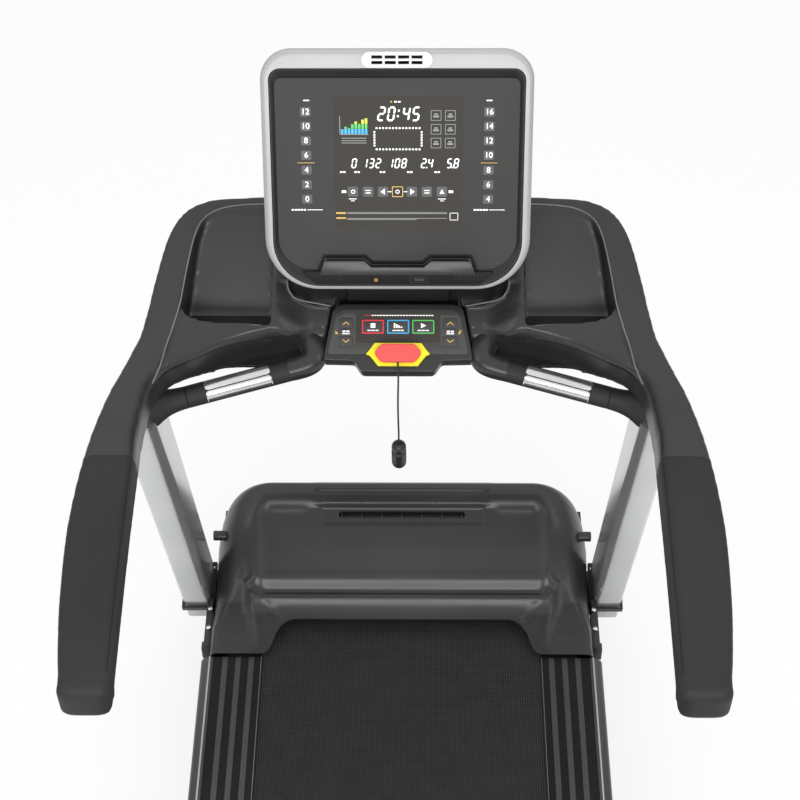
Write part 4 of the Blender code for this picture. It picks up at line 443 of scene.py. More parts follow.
# right-hand outlines from the sleeve's end to the tray's back: x, and y from the console's middle
ARM_OUTER = [(0.4766, -0.665), (0.4815, -0.56), (0.4805, -0.44), (0.4675, -0.318)]
ARM_OUTER += [(0.4475, -0.227), (0.421, -0.152), (0.4045, -0.092), (0.3885, -0.009)]
ARM_OUTER += [(0.374, 0.051), (0.36, 0.082), (0.34, 0.103), (0.305, 0.1165), (0.25, 0.1215)]
ARM_OUTER += [(0.18, 0.1235), (0.09, 0.1245)]
ARM_INNER = [(0.401, -0.665), (0.4, -0.56), (0.3985, -0.44), (0.3965, -0.318)]
ARM_INNER += [(0.396, -0.275), (0.39, -0.22), (0.382, -0.182), (0.364, -0.158)]
ARM_INNER += [(0.34, -0.142), (0.271, -0.1), (0.205, -0.081)]
# side view of the top and the underside: y from the console's middle, and z
TOP_LINE = [(-0.75, 1.012), (-0.65, 1.033), (-0.44, 1.073), (-0.318, 1.088), (-0.22, 1.1)]
TOP_LINE += [(-0.09, 1.113), (-0.04, 1.13), (0.02, 1.16), (0.08, 1.19), (0.14, 1.218)]
UNDER_LINE = [(-0.75, 0.946), (-0.65, 0.967), (-0.44, 1.007), (-0.318, 1.022), (-0.22, 1.034)]
UNDER_LINE += [(-0.12, 1.04), (-0.02, 1.045), (0.08, 1.066), (0.14, 1.08)]
# the rim's inner edge, from the head round the tub and down the arm
RIM_LINE = [(0.15, 0.108), (0.216, 0.107), (0.257, 0.105), (0.29, 0.099), (0.315, 0.084)]
RIM_LINE += [(0.329, 0.057), (0.34, 0.006), (0.349, -0.049), (0.357, -0.083)]
RIM_LINE += [(0.365, -0.121), (0.371, -0.16), (0.38, -0.195)]
# how far the arms' outer edges bow out: y, and the way out
BOW = [(-0.068, -0.0034), (-0.04, -0.0006), (-0.01, 0.001), (0.05, 0.0028), (0.11, 0.0038)]
BOW += [(0.186, 0.0045), (0.26, 0.0056), (0.39, 0.0057), (0.44, 0.0067), (0.48, 0.0064)]
BOW += [(0.516, 0.0045), (0.6, 0.0037), (0.69, 0.0015), (0.74, 0.0)]
FRONT_SHOULDER, OUTER_SHOULDER, SLEEVE_SHOULDER = 0.02, 0.01, 0.016
RIM_STEP = 0.005
POD_TILT = 0.5543
CREASE_Z, CREASE_DEPTH = 1.086, 0.009
UNDERSIDE_SEAT = 0.0036
SKIN_VOXEL, SLEEVE_VOXEL = 0.0036, 0.003
MIDDLE_Y = 0.619  # the tray's middle, just behind the keypad pod
POD_SIDE_X, POD_SIDE_Y = 0.126, 0.544
TUB_INNER, TUB_FLOOR = 0.2025, 1.068
CUT_LOW, CUT_HIGH, CUT_SIDE = 0.9, 1.4, 0.6  # cutters reach well past the tray
POD_FACE_Y, POD_FACE_Z, POD_FACE_END, POD_REACH = 0.559, 1.082, 0.606, (0.128, 0.2)
HANG_LINE = [(0.1, 0.042), (0.19, 0.041), (0.23, 0.034), (0.26, 0.0245), (0.3, 0.01), (0.34, 0.0)]
SHADE_END_Y, SHADE_SIDE_X, SHADE_SINK, SHADE_HEIGHT = 0.603, 0.344, 0.0006, 0.0012
HIGHLIGHT_RADIUS, JOINT_RADIUS = 0.0014, 0.0013


def flowing(route, spacing=0.008):
    """Plan points (x, y) joined by a smooth curve, y moved to the console's middle."""
    flat = [Vector((x, CONSOLE_Y + y, 0)) for x, y in route]
    return [(p.x, p.y) for p in along(flat, spacing)]


def mirrored(half):
    """A right-hand half outline closed by its image on the left."""
    return half + [(-x, y) for x, y in reversed(half)]


def to_side(side, outline):
    return [(side * x, y) for x, y in outline]


def slab(name, outline, low, high, axis="Z"):
    """A ring of points across one axis, filled, then drawn out along it."""
    bpy.ops.mesh.primitive_circle_add(vertices=len(outline), fill_type="NGON")
    obj = bpy.context.object
    obj.name = name
    for vertex, (a, b) in zip(obj.data.vertices, outline):
        vertex.co = {"X": (low, a, b), "Y": (a, low, b), "Z": (a, b, low)}[axis]
    reach = [high - low if way == axis else 0 for way in "XYZ"]
    bpy.ops.object.mode_set(mode="EDIT")
    bpy.ops.mesh.select_all(action="SELECT")
    bpy.ops.mesh.extrude_region_move(TRANSFORM_OT_translate={"value": reach})
    faces_outward()
    return obj


def carved(obj, tool, how="DIFFERENCE"):
    """obj cut by, joined to or kept inside the tool, which is then thrown away."""
    modified(obj, "BOOLEAN", operation=how, solver="EXACT", object=tool)
    bpy.data.objects.remove(tool)
    return obj


def eased_off(obj, passes):
    return modified(obj, "SMOOTH", factor=0.5, iterations=passes)


def skinned(obj, voxel, passes):
    """The form as one even moulded skin with its edges eased."""
    return eased_off(modified(obj, "REMESH", mode="VOXEL", voxel_size=voxel), passes)


def places(obj):
    """The mesh's points and their normals, as arrays."""
    count = len(obj.data.vertices)
    points, normals = np.zeros(count * 3), np.zeros(count * 3)
    obj.data.vertices.foreach_get("co", points)
    obj.data.vertices.foreach_get("normal", normals)
    return points.reshape(-1, 3), normals.reshape(-1, 3)


def move_to(obj, points):
    obj.data.vertices.foreach_set("co", points.ravel())
    obj.data.update()


def eased(value, low, high):
    """0 below low, 1 above high, and a smooth step between them."""
    t = np.clip((value - low) / (high - low), 0.0, 1.0)
    return t * t * (3 - 2 * t)


def read_off(at, line):
    """The second value of a line of pairs, where the first has reached each place."""
    return np.interp(at, *zip(*line))


def from_line(points, line):
    """Distance in plan from each point to a line of (x, y), with x taken without its sign."""
    flat = np.stack([np.abs(points[:, 0]), points[:, 1]], axis=1)
    nearest = np.full(len(flat), 9.0)
    for a, b in zip(line, line[1:]):
        start, step = np.array(a), np.array(b) - np.array(a)
        t = np.clip(((flat - start) @ step) / max(step @ step, 1e-12), 0.0, 1.0)
        nearest = np.minimum(nearest, np.linalg.norm(flat - start - t[:, None] * step, axis=1))
    return nearest


def inside_line(points, line):
    """True where a point lies within the closed plan line, with x taken without its sign."""
    x, y = np.abs(points[:, 0]), points[:, 1]
    within = np.zeros(len(x), bool)
    for (ax, ay), (bx, by) in zip(line, line[1:] + line[:1]):
        crosses = (ay > y) != (by > y)
        slope = (bx - ax) / (by - ay) if by != ay else 0.0
        within ^= crosses & (x < ax + slope * (y - ay))
    return within


def rolled_over(points, line, radius):
    """How far a quarter round lowers each point as it nears a line."""
    reach = np.clip(radius - from_line(points, line), 0.0, radius)
    return radius - np.sqrt(radius * radius - reach * reach)


arm_outer, arm_inner, rim_line = flowing(ARM_OUTER), flowing(ARM_INNER), flowing(RIM_LINE)
top_line = [(CONSOLE_Y + y, z) for y, z in TOP_LINE]
under_line = [(CONSOLE_Y + y, z + UNDERSIDE_SEAT) for y, z in UNDER_LINE]


def bowed(points):
    """The arms' outer edges bow out a little between the tray's corners and the sleeves' noses."""
    share = 1 - eased(from_line(points, arm_outer), 0.0, 0.045)
    points[:, 0] += np.sign(points[:, 0]) * share * read_off(points[:, 1], BOW)


def tray_surface(x, y):
    """The tray's top, which sinks to the pod's own face as it nears the pod."""
    top = read_off(y, top_line)
    pod_face = POD_FACE_Z + POD_TILT * (np.minimum(y, POD_FACE_END) - POD_FACE_Y)
    near_pod = 1 - eased(np.abs(x), *POD_REACH)
    return top + near_pod * (pod_face - top)


outer = [p for p in arm_outer if p[1] > SEAM_Y + 0.004]
inner = [p for p in arm_inner if p[1] > SEAM_Y + 0.004]
seam_outer, seam_inner = (
    read_off(SEAM_Y, [(y, x) for x, y in line]) for line in (arm_outer, arm_inner)
)
front_edge = [(seam_inner, SEAM_Y)] + inner + [(POD_SIDE_X, POD_SIDE_Y)]
half_plan = [(0.1, MIDDLE_Y), (0.108, POD_SIDE_Y)] + inner[::-1]
half_plan += [(seam_inner, SEAM_Y - 0.004), (seam_outer, SEAM_Y - 0.004)] + outer
tray = slab("tray", mirrored(half_plan), CUT_LOW, CUT_HIGH)
carved(tray, slab("tray_side", top_line + under_line[::-1], -CUT_SIDE, CUT_SIDE, "X"), "INTERSECT")

mouth = [(TUB_INNER, 0.544), (0.26, 0.545), (0.305, 0.5478), (0.33, 0.553), (0.343, 0.563)]
mouth += [(0.3478, 0.575), (0.3448, 0.598), (0.3385, 0.626), (0.3275, 0.674), (0.315, 0.701)]
mouth += [(0.29, 0.7165), (0.257, 0.7225), (TUB_INNER, 0.724)]
lean = [(0.53, TUB_FLOOR), (0.604, TUB_FLOOR), (0.724, 1.208), (0.724, CUT_HIGH), (0.53, CUT_HIGH)]
for _, side in SIDES:
    pocket = slab("tub_pocket", to_side(side, mouth), CUT_LOW, CUT_HIGH)
    carved(tray, carved(pocket, slab("tub_side", lean, -CUT_SIDE, CUT_SIDE, "X"), "INTERSECT"))
brim = [(0.1, 0.5945), (0.16, 0.594), (0.171, 0.5965), (0.1765, 0.604), (0.179, 0.62)]
recess = mirrored(brim + [(0.186, 0.645), (0.195, 0.66), (0.195, 0.705)])
saucer = [(0.56, 1.0975), (0.598, 1.0985), (0.612, 1.109), (0.64, 1.117), (0.72, 1.119)]
saucer += [(0.72, CUT_HIGH), (0.56, CUT_HIGH)]
bowl_cut = slab("head_recess", recess, 1.0, CUT_HIGH)
saucer = slab("saucer_side", saucer, -CUT_SIDE, CUT_SIDE, "X")
carved(tray, carved(bowl_cut, saucer, "INTERSECT"))
notch = [(-0.124, 0.47), (0.124, 0.47), (0.1228, 0.518), (0.1068, 0.602)]
notch += [(-0.1068, 0.602), (-0.1228, 0.518)]
carved(tray, slab("pod_notch", notch, 0.8, CUT_HIGH))
skinned(tray, SKIN_VOXEL, 4)

points, normals = places(tray)
x, y, z = points.T  # views, so that what moves them moves the points
# the front wall hangs lower towards the pod
hang = read_off(np.abs(x), HANG_LINE) * (1 - eased(from_line(points, front_edge), 0.014, 0.032))
hang *= eased(np.abs(x), 0.14, 0.16)
z -= hang * eased(1.078 - z, 0.0, 0.032)
# towards the pod the slope sinks to the pod's own face
top = tray_surface(x, y)
z[:] = np.where(y < 0.612, np.minimum(z, top), z)
# the shoulders: the top rolls over towards each edge as a quarter round, the front one less so
# near the seam
near_seam = eased(y, SEAM_Y - 0.01, SEAM_Y + 0.06)
back_edge = arm_outer + [(0.0, CONSOLE_Y + 0.1245)]
for line, radius, kept in ((front_edge, FRONT_SHOULDER, near_seam), (back_edge, OUTER_SHOULDER, 1.0)):
    share = eased(z, top - 2.2 * radius, top) * (0.55 + 0.45 * kept)
    z -= rolled_over(points, line, radius) * share
# the inner slope lies a little under the rim
bowl = rim_line + [(0.4, SEAM_Y + 0.12), (0.36, 0.44), (0.0, 0.44), (0.0, 0.728)]
within = inside_line(points, bowl) & ~inside_line(points, mouth)
depth_in = np.where(within, from_line(points, rim_line), 0.0)
surface = eased(0.01 - np.abs(z - top), 0.0, 0.005) * eased(normals[:, 2], 0.1, 0.6)
z -= RIM_STEP * eased(depth_in, 0.0, 0.004) * surface
# the crease: below the shoulder the front wall steps in
front = eased(-normals[:, 1], 0.15, 0.5) * eased(0.388 - np.abs(x), 0.0, 0.03)
front *= y < 0.6
set_in_y = y + CREASE_DEPTH * front * eased(CREASE_Z - z, 0.0, 0.008)
beside_tub = (np.abs(x) > 0.197) & (np.abs(x) < 0.3) & (z > 1.06)
limit = np.maximum(y, 0.5415)
y[:] = np.where(beside_tub, np.minimum(set_in_y, limit), set_in_y)
bowed(points)
move_to(tray, points)
modified(eased_off(tray, 4), "DECIMATE", ratio=0.55)
placed(smoothed(tray, 50), moulding, "tray_shell")


def ring_round(point, forward, radius, count):
    """A ring round a point, square to the way forward."""
    side = forward.normalized().cross(Vector((0, 0, 1))).normalized()
    lift = side.cross(forward.normalized())
    return [point + (side * math.cos(a) + lift * math.sin(a)) * radius for a in turns(count)]


def tube(name, spots, radii, count=12):
    """Round rings along the spots, each with its radius, joined as one tube."""
    last = len(spots) - 1
    ways = [spots[min(k + 1, last)] - spots[max(k - 1, 0)] for k in range(last + 1)]
    return lofted(name, [ring_round(*ring, count) for ring in zip(spots, ways, radii)])


# an elbow each side carries the hand grip's inner end up into the tray: its middle and radius
ELBOW = [(0.176, 0.5139, 1.0354, 0.0186), (0.162, 0.5172, 1.037, 0.019)]
ELBOW += [(0.148, 0.5216, 1.0396, 0.0196), (0.1392, 0.5275, 1.0425, 0.0204)]
ELBOW += [(0.135, 0.537, 1.046, 0.0214), (0.1362, 0.549, 1.05, 0.0222)]
ELBOW += [(0.143, 0.564, 1.053, 0.0222)]
for name, side in SIDES:
    spots = along([Vector((side * x, y, z)) for x, y, z, _ in ELBOW], 0.004)
    shares = (np.linspace(0, 1, len(line)) for line in (spots, ELBOW))
    radii = np.interp(*shares, [radius for *_, radius in ELBOW]).tolist()
    elbow = tube("grip_elbow_" + name, spots, radii, 32)
    placed(smoothed(elbow, 50), moulding)

# a fine bead runs along the rim's inner edge and round the head's saucer, pale to paint the highlight
# along those edges
rim_highlights = []
for _, side in SIDES:
    rim = [Vector((side * x, y, read_off(y, top_line) - 0.0012)) for x, y in rim_line]
    edge = [Vector((side * max(x, 0.109), y, tray_surface(x, y) - 0.0008)) for x, y in brim[::-1]]
    for route in (rim, along(edge, 0.006)):
        rim_highlights.append(tube("tray_rim_highlight", route, [HIGHLIGHT_RADIUS] * len(route)))
rim_highlights = smoothed(joined(rim_highlights, "tray_rim_highlight"), 60)
placed(rim_highlights, painted_highlight)

# a thin black sheet on each tub's floor paints the shade deep in the tub, and the head stands on a
# short black neck
floor_shade_line = [(x, min(y, SHADE_END_Y)) for x, y in mouth if y < 0.6]
floor_shade_line += [(SHADE_SIDE_X, SHADE_END_Y), (TUB_INNER, SHADE_END_Y)]
for name, side in SIDES:
    outline = to_side(side, floor_shade_line)
    floor_shade = slab("tub_floor_shade_" + name, outline, TUB_FLOOR - SHADE_SINK, TUB_FLOOR + SHADE_HEIGHT)
    placed(floor_shade, deep_black)
neck = [(0.604, 1.1), (0.7, 1.1), (0.7, 1.14), (0.67, 1.185), (0.656, 1.164)]
neck = slab("head_neck", neck + [(0.618, 1.144), (0.606, 1.134)], -0.084, 0.084, "X")
placed(rounded_off(neck, 0.004, 3, 30), deep_black)

# ---- arm sleeves ---------------------------------------------------------------------------------
# Dipped rubber sleeves pushed over the handrails' free ends up to the tray's seam. Each ends in a
# full round nose.

NOSE_MIDDLE, NOSE_HALF, NOSE_LENGTH, NOSE_SQUARENESS = 0.4386, 0.0378, 0.024, 0.55
SLEEVE_OVER = 0.0007  # how far the rubber stands over the arm that it covers
JOINT_IN, JOINT_DOWN = 0.0046, 0.005

sleeve_outer, sleeve_inner = (
    [p for p in line if SLEEVE_END_Y + 0.034 < p[1] < SEAM_Y - 0.004] for line in (arm_outer, arm_inner)
)
nose = []
for k in range(21):
    a = math.pi + math.pi * k / 20
    across, back = math.cos(a), math.sin(a)
    x = NOSE_MIDDLE + NOSE_HALF * math.copysign(abs(across) ** NOSE_SQUARENESS, across)
    nose.append((x, SLEEVE_END_Y + NOSE_LENGTH - NOSE_LENGTH * abs(back) ** NOSE_SQUARENESS))
outer_edge = nose + sleeve_outer + [(seam_outer, SEAM_Y + 0.003)]
inner_edge = sleeve_inner[:1] + sleeve_inner + [(seam_inner, SEAM_Y)]
outline = outer_edge + [(seam_inner, SEAM_Y + 0.003)] + sleeve_inner[::-1]
side_view = top_line + [(y, z - UNDERSIDE_SEAT) for y, z in reversed(under_line)]
for name, side in SIDES:
    sleeve = slab("sleeve_" + name, to_side(side, outline), 0.85, 1.3)
    carved(sleeve, slab("sleeve_side", side_view, -CUT_SIDE, CUT_SIDE, "X"), "INTERSECT")
    skinned(sleeve, SLEEVE_VOXEL, 3)
    points, normals = places(sleeve)
    _, y, z = points.T
    top = read_off(y, top_line)
    for line in (outer_edge, inner_edge):
        drop = 0.8 * rolled_over(points, line, SLEEVE_SHOULDER)
        z -= drop * eased(z, top - 2.2 * SLEEVE_SHOULDER, top)
        z += drop * eased(top - z, 0.03, 0.066)
    points += SLEEVE_OVER * normals
    bowed(points)
    move_to(sleeve, points)
    placed(smoothed(eased_off(sleeve, 4), 55), soft_rubber, "arm_sleeve_" + name)
    # the joint of its two halves runs down the inner shoulder
    joint = []
    for x, y in (p for p in sleeve_inner if p[1] < SEAM_Y - 0.006):
        joint.append(Vector((side * (x + JOINT_IN), y, read_off(y, top_line) - JOINT_DOWN)))
    joint = smoothed(tube("sleeve_joint_" + name, joint, [JOINT_RADIUS] * len(joint)), 60)
    placed(joint, deep_black)

# ---- motor hood ----------------------------------------------------------------------------------
# One thin moulding over the motor: a rounded nose, a wide sunk panel with a vent behind the crest,
# and two wings that run back over the foot rails' ends.

HOOD_HALF = 0.3755
HOOD_FRONT, HOOD_REAR, WING_REAR = 1.02, 0.569, 0.4996
# side view along the middle: y and z
HOOD_LINE = [(0.4996, 0.23), (0.54, 0.238), (0.569, 0.2485), (0.58, 0.2528), (0.589, 0.2585)]
HOOD_LINE += [(0.596, 0.2646), (0.601, 0.2703), (0.606, 0.2756), (0.611, 0.2784), (0.615, 0.2793)]
HOOD_LINE += [(0.6225, 0.28), (0.6255, 0.2818), (0.6305, 0.2872), (0.637, 0.2945), (0.644, 0.299)]
HOOD_LINE += [(0.655, 0.3045), (0.69, 0.3275), (0.73, 0.3505), (0.76, 0.368), (0.78, 0.3775)]
HOOD_LINE += [(0.793, 0.3815), (0.8, 0.382), (0.81, 0.377), (0.835, 0.342), (0.868, 0.298)]
HOOD_LINE += [(0.9, 0.257), (0.93, 0.219), (0.96, 0.185), (0.985, 0.158), (1.003, 0.137)]
HOOD_LINE += [(1.014, 0.121), (1.02, 0.108)]
# towards its sides the hood is plainer: a wing that climbs without the hollow
WING_LINE = [(0.4996, 0.23), (0.54, 0.237), (0.58, 0.246), (0.605, 0.255), (0.63, 0.272)]
WING_LINE += [(0.66, 0.296), (0.69, 0.319), (0.72, 0.342), (0.74, 0.356), (0.76, 0.368)]
# straight sides, and a nose with broad rounded corners: y, and how far the side is drawn in
NOSE_LINE = [(0.74, 0.0), (0.78, 0.004), (0.8, 0.008), (0.835, 0.0125), (0.868, 0.019)]
NOSE_LINE += [(0.9, 0.0275), (0.93, 0.038), (0.96, 0.053), (0.99, 0.077), (HOOD_FRONT, 0.115)]
# the rows over the vent and the crease are closer than those on the plain slopes
ROW_LINE = [(0, WING_REAR), (0.1, HOOD_REAR), (0.34, 0.655), (0.5, 0.722), (0.74, 0.8)]
ROW_LINE += [(0.84, 0.88), (1.0, HOOD_FRONT)]
# the shoulder's reach across, and down
WIDE_LINE = [(0.5, 0.012), (0.56, 0.018), (0.6, 0.04), (0.64, 0.066), (0.7, 0.072)]
WIDE_LINE += [(0.76, 0.09), (0.8, 0.105), (1.02, 0.115)]
DEEP_LINE = [(0.5, 0.018), (0.56, 0.028), (0.6, 0.055), (0.64, 0.1), (0.7, 0.135)]
DEEP_LINE += [(0.8, 0.165), (1.02, 0.165)]
HOOD_SKIRT_REAR, HOOD_SKIRT_FRONT, SKIRT_STEP_Y = 0.1805, 0.101, 0.8935
HOOD_WALL = 0.0032
FLAT_SHARE, SIDE_SHARE = 0.6, 0.88
PANEL_DEPTH, VENT_DEPTH, SHELF_DEPTH, HOLLOW_DEPTH = 0.007, 0.006, 0.0028, 0.003
EAR_HEIGHT, FOLD_HEIGHT = 0.0022, 0.005
SLOT_HALF, SLOT_ROUND, SLOT_Y = 0.1255, 0.006, 0.75
SLAT_COUNT, SLAT_PITCH, SLAT_Y, SLAT_Z = 7, 0.04, 0.754, 0.3436
ACROSS, LENGTHWISE = 216, 190

# the line drawn fine and its corners eased
hood_y = np.linspace(WING_REAR, HOOD_FRONT, 1200)
hood_z = read_off(hood_y, HOOD_LINE)
bell = np.exp(-(np.linspace(-2.4, 2.4, 25) ** 2) / 2)
eased_z = np.convolve(np.pad(hood_z, 12, mode="edge"), bell / bell.sum(), mode="valid")
hood_z = np.where((hood_y > 0.512) & (hood_y < 1.005), eased_z, hood_z)

bpy.ops.mesh.primitive_grid_add(x_subdivisions=ACROSS, y_subdivisions=LENGTHWISE, size=2)
hood = bpy.context.object
hood.name = "hood"
grid, _ = places(hood)
u, v = grid[:, 0], (grid[:, 1] + 1) / 2
y = read_off(v, ROW_LINE)
# round the section: flat on top, an elliptic shoulder, and a straight side down to the skirt
wide = read_off(y, WIDE_LINE)
s = np.clip(np.abs(u), 0.0, 1.0)
turn = np.clip((s - FLAT_SHARE) / (SIDE_SHARE - FLAT_SHARE), 0.0, 1.0) * (math.pi / 2)
flat_half = HOOD_HALF - read_off(y, NOSE_LINE) - wide
x = np.sign(u) * (flat_half * np.clip(s / FLAT_SHARE, 0.0, 1.0) + wide * np.sin(turn))
crown = np.interp(y, hood_y, hood_z)
skirt = np.where(y < SKIRT_STEP_Y, HOOD_SKIRT_REAR, HOOD_SKIRT_FRONT)
deep = np.minimum(read_off(y, DEEP_LINE), 0.92 * np.maximum(crown - skirt, 0.002))
crown += eased(np.abs(x), 0.284, 0.316) * (y < 0.76) * (read_off(y, WING_LINE) - crown)
lift = np.maximum(crown - skirt, 0.002)
deep = np.minimum(deep, 0.92 * lift)
down_side = np.clip((s - SIDE_SHARE) / (1 - SIDE_SHARE), 0.0, 1.0)
z = crown - deep * (1 - np.cos(turn)) - (lift - deep) * down_side
points = np.stack([x, y, z], axis=1)
away, z = np.abs(x), points[:, 2]

# the sunk panel: an ear each side of the vent carries it up towards the crest
top_end = 0.7642 + 0.007 * eased(away, 0.166, 0.184) - 0.015 * eased(away, 0.262, 0.288)
top_soft = 0.005 + 0.011 * eased(away, 0.166, 0.184)
panel = eased(0.288 - away, 0.0, 0.016) * eased(y, 0.6, 0.618)
panel *= eased((top_end - y) / top_soft, 0.0, 1.0)
z -= PANEL_DEPTH * panel * eased(HOOD_HALF - away, 0.02, 0.05)
ear = eased(0.044 - np.abs(away - 0.227), 0.0, 0.014)
z += EAR_HEIGHT * ear * np.exp(-(((y - 0.756) / 0.0045) ** 2))
# the vent's own recess, and a low shelf between it and the crest
vent = eased(0.1655 - away, 0.0, 0.006) * eased(y, 0.729, 0.735) * eased(0.766 - y, 0.0, 0.004)
z -= VENT_DEPTH * vent
shelf = eased(0.178 - away, 0.0, 0.02) * eased(y, 0.758, 0.766) * eased(0.7905 - y, 0.0, 0.0035)
z -= SHELF_DEPTH * shelf
# a hollow bounds the lip's bulge behind and down both its sides
bound = [(0.0, 0.619), (0.264, 0.619), (0.2775, 0.615), (0.279, 0.606)]
bound += [(0.264, 0.59), (0.241, 0.571)]
z -= HOLLOW_DEPTH * np.exp(-((from_line(points, bound) / 0.0065) ** 2))
# a broad fold down each wing, from the panel's corner to the rail
fold_x = read_off(y, [(0.5, 0.277), (0.55, 0.2825), (0.6, 0.2955), (0.637, 0.308)])
fold = np.exp(-(((away - fold_x) / 0.008) ** 2)) * eased(y, 0.5, 0.54) * eased(0.644 - y, 0.0, 0.012)
z += FOLD_HEIGHT * fold
move_to(hood, points)
modified(eased_off(hood, 3), "SOLIDIFY", thickness=HOOD_WALL, offset=-1)

# the rear edge: cut back over the belt in two S-curves, then the skirt's slot for the belt
edge = [(0.212, 0.569), (0.224, 0.5655), (0.236, 0.557), (0.246, 0.543), (0.253, 0.522)]
edge += [(0.259, 0.508), (0.268, 0.501), (0.285, 0.4996)]
notch = [(0.0, HOOD_REAR)] + edge + [(0.285, 0.42)] + to_side(-1, [(0.285, 0.42)] + edge[::-1])
carved(hood, slab("belt_notch", notch, 0.05, 0.6))
slot = [(-0.348, 0.2235), (-0.348, 0.05), (0.348, 0.05), (0.348, 0.2235)]
carved(hood, slab("belt_slot", slot, 0.4, 0.6195, "Y"))
# the vent's slot is a round-ended bar lying across
slot = []
for k in range(25):
    a = -math.pi / 2 + math.pi * k / 24
    slot.append((SLOT_HALF - SLOT_ROUND + SLOT_ROUND * math.cos(a), SLOT_Y + SLOT_ROUND * math.sin(a)))
slot += [(-x, 2 * SLOT_Y - y) for x, y in slot]
carved(hood, slab("vent_slot", slot, 0.3, 0.45))
placed(smoothed(hood, 40), moulding, "motor_hood", body="deck")

# the vent's slats, set just under the slot
bpy.ops.mesh.primitive_cube_add(size=1, location=(0, 0.759, 0.34), scale=(0.27, 0.044, 0.0016))
slats = [bpy.context.object]
for k in range(SLAT_COUNT):
    place = (SLAT_PITCH * (k - (SLAT_COUNT - 1) / 2), SLAT_Y, SLAT_Z)
    bpy.ops.mesh.primitive_cube_add(size=1, location=place, scale=(0.0024, 0.02, 0.006))
    slats.append(bpy.context.object)
slats = rounded_off(joined(slats, "hood_vent_slats"), 0.0004, 2, 50)
placed(slats, hard_black, body="deck")

# a round knob each side pins the hood to its frame
for name, side in SIDES:
    bpy.ops.mesh.primitive_cylinder_add(
        vertices=32, radius=0.01, depth=0.028, location=(side * 0.365, 0.737, 0.296),
        rotation=(0, math.pi / 2, 0),
    )
    knob = bpy.context.object
    knob.name = "hood_knob_" + name
    placed(rounded_off(knob, 0.0014, 3, 40), hard_black, body="deck")

# ---- display head --------------------------------------------------------------------------------
# A painted ABS shell whose back tapers in, a dark bezel, and a smoked acrylic screen behind which
# the lit figures show. A vent for the fan sits above the screen, and a rest for a telephone below.

HEAD_ORIGIN, HEAD_RECLINE = Vector((0, 0.6495, 1.3375)), math.radians(25)
# half width, bottom and top, then for the lower and the upper corners: the radius, the share of an
# inset that it gives up, and the least that it comes to
HEAD_EDGE = (0.207, -0.193, 0.1885, (0.084, 1.0, 0.02), (0.048, 0.6, 0.012))
BEZEL_EDGE = (0.1935, -0.1855, 0.16, (0.073, 0.6, 0.0), (0.018, 0.4, 0.0))
SCREEN_EDGE = (0.1862, -0.16, 0.145, (0.052, 1.0, 0.0), (0.011, 0.5, 0.0))
HEAD_WALL = 0.004
SCREEN_FACE = -0.0046
PRINT_DROP = 0.0014
NUMBER_SIZE, NUMBER_BOLDNESS, NUMBER_HALF_DEPTH, NUMBER_LIFT = 0.0125, 0.00012, 0.00005, 0.0005
HOLE_START, HOLE_PITCH, HOLE_Y, HOLE_ROW, HOLE_RADIUS = 0.09, 0.005, -0.167, 0.0036, 0.0008
VENT_Y, VENT_HALF_WIDTH, VENT_HALF_HEIGHT = 0.1742, 0.047, 0.0088
# inset and height, from the front edge to the back
SIDE_VIEW = [(0.0075, -0.0006), (0.004, -0.0012), (0.0014, -0.0034), (0.0003, -0.0066), (0.0, -0.011)]
SIDE_VIEW += [(0.0028, -0.022), (0.009, -0.048), (0.0165, -0.074), (0.02, -0.083)]
SIDE_VIEW += [(0.026, -0.088), (0.034, -0.0898)]


def facing(origin, lean):
    """A place whose X runs across, Y up the leaning face and Z out of it towards the user."""
    return Matrix.Translation(origin) @ Matrix.Rotation(math.pi / 2 - lean, 4, "X")


def rounded_box(left, right, bottom, top, radii, steps):
    """A rectangle's outline with a radius to each corner: lower right, upper right, and so on."""
    outline = []
    corners = ((right, bottom, 1, -1), (right, top, 1, 1), (left, top, -1, 1), (left, bottom, -1, -1))
    for k, ((x, y, sx, sy), radius) in enumerate(zip(corners, radii)):
        centre_x, centre_y = x - sx * radius, y - sy * radius
        for j in range(steps + 1):
            a = math.radians(-90 + 90 * k + 90 * j / steps)
            outline.append((centre_x + radius * math.cos(a), centre_y + radius * math.sin(a)))
    return outline


def tile(x0, x1, y0, y1, radius, steps):
    return rounded_box(x0, x1, y0, y1, [radius] * 4, steps)


def about(x, y, half_width, half_height):
    """Left, right, bottom and top of a box round its middle."""
    return x - half_width, x + half_width, y - half_height, y + half_height


def face_ring(edge, inset, height):
    """An edge's outline drawn in by an inset, at a height off the face."""
    half, bottom, top, *corners = edge
    low, high = (max(radius - share * inset, least) for radius, share, least in corners)
    box = (inset - half, half - inset, bottom + inset, top - inset)
    return [(x, y, height) for x, y in rounded_box(*box, (low, high, high, low), 14)]


head_place = facing(HEAD_ORIGIN, HEAD_RECLINE)

# the painted shell: a solid tapering to the back, hollowed, with its windows cut through
shell = lofted("head_shell", [face_ring(HEAD_EDGE, *step) for step in SIDE_VIEW])
hollow = [(0.008, -0.0046), (0.005, -0.0066)]
hollow += [(inset + HEAD_WALL, height) for inset, height in SIDE_VIEW[4:9]] + [(0.028, -0.0852)]
carved(shell, lofted("head_cavity", [face_ring(HEAD_EDGE, *step) for step in hollow]))
opening = [(x, y) for x, y, _ in face_ring(BEZEL_EDGE, -0.0006, 0)]
carved(shell, slab("bezel_window", opening, -0.03, 0.01))
opening = tile(*about(0, VENT_Y, VENT_HALF_WIDTH, VENT_HALF_HEIGHT), 0.001, 3)
carved(shell, slab("vent_window", opening, -0.02, 0.01))
placed(smoothed(shell, 38), silver, "head_shell", head_place)

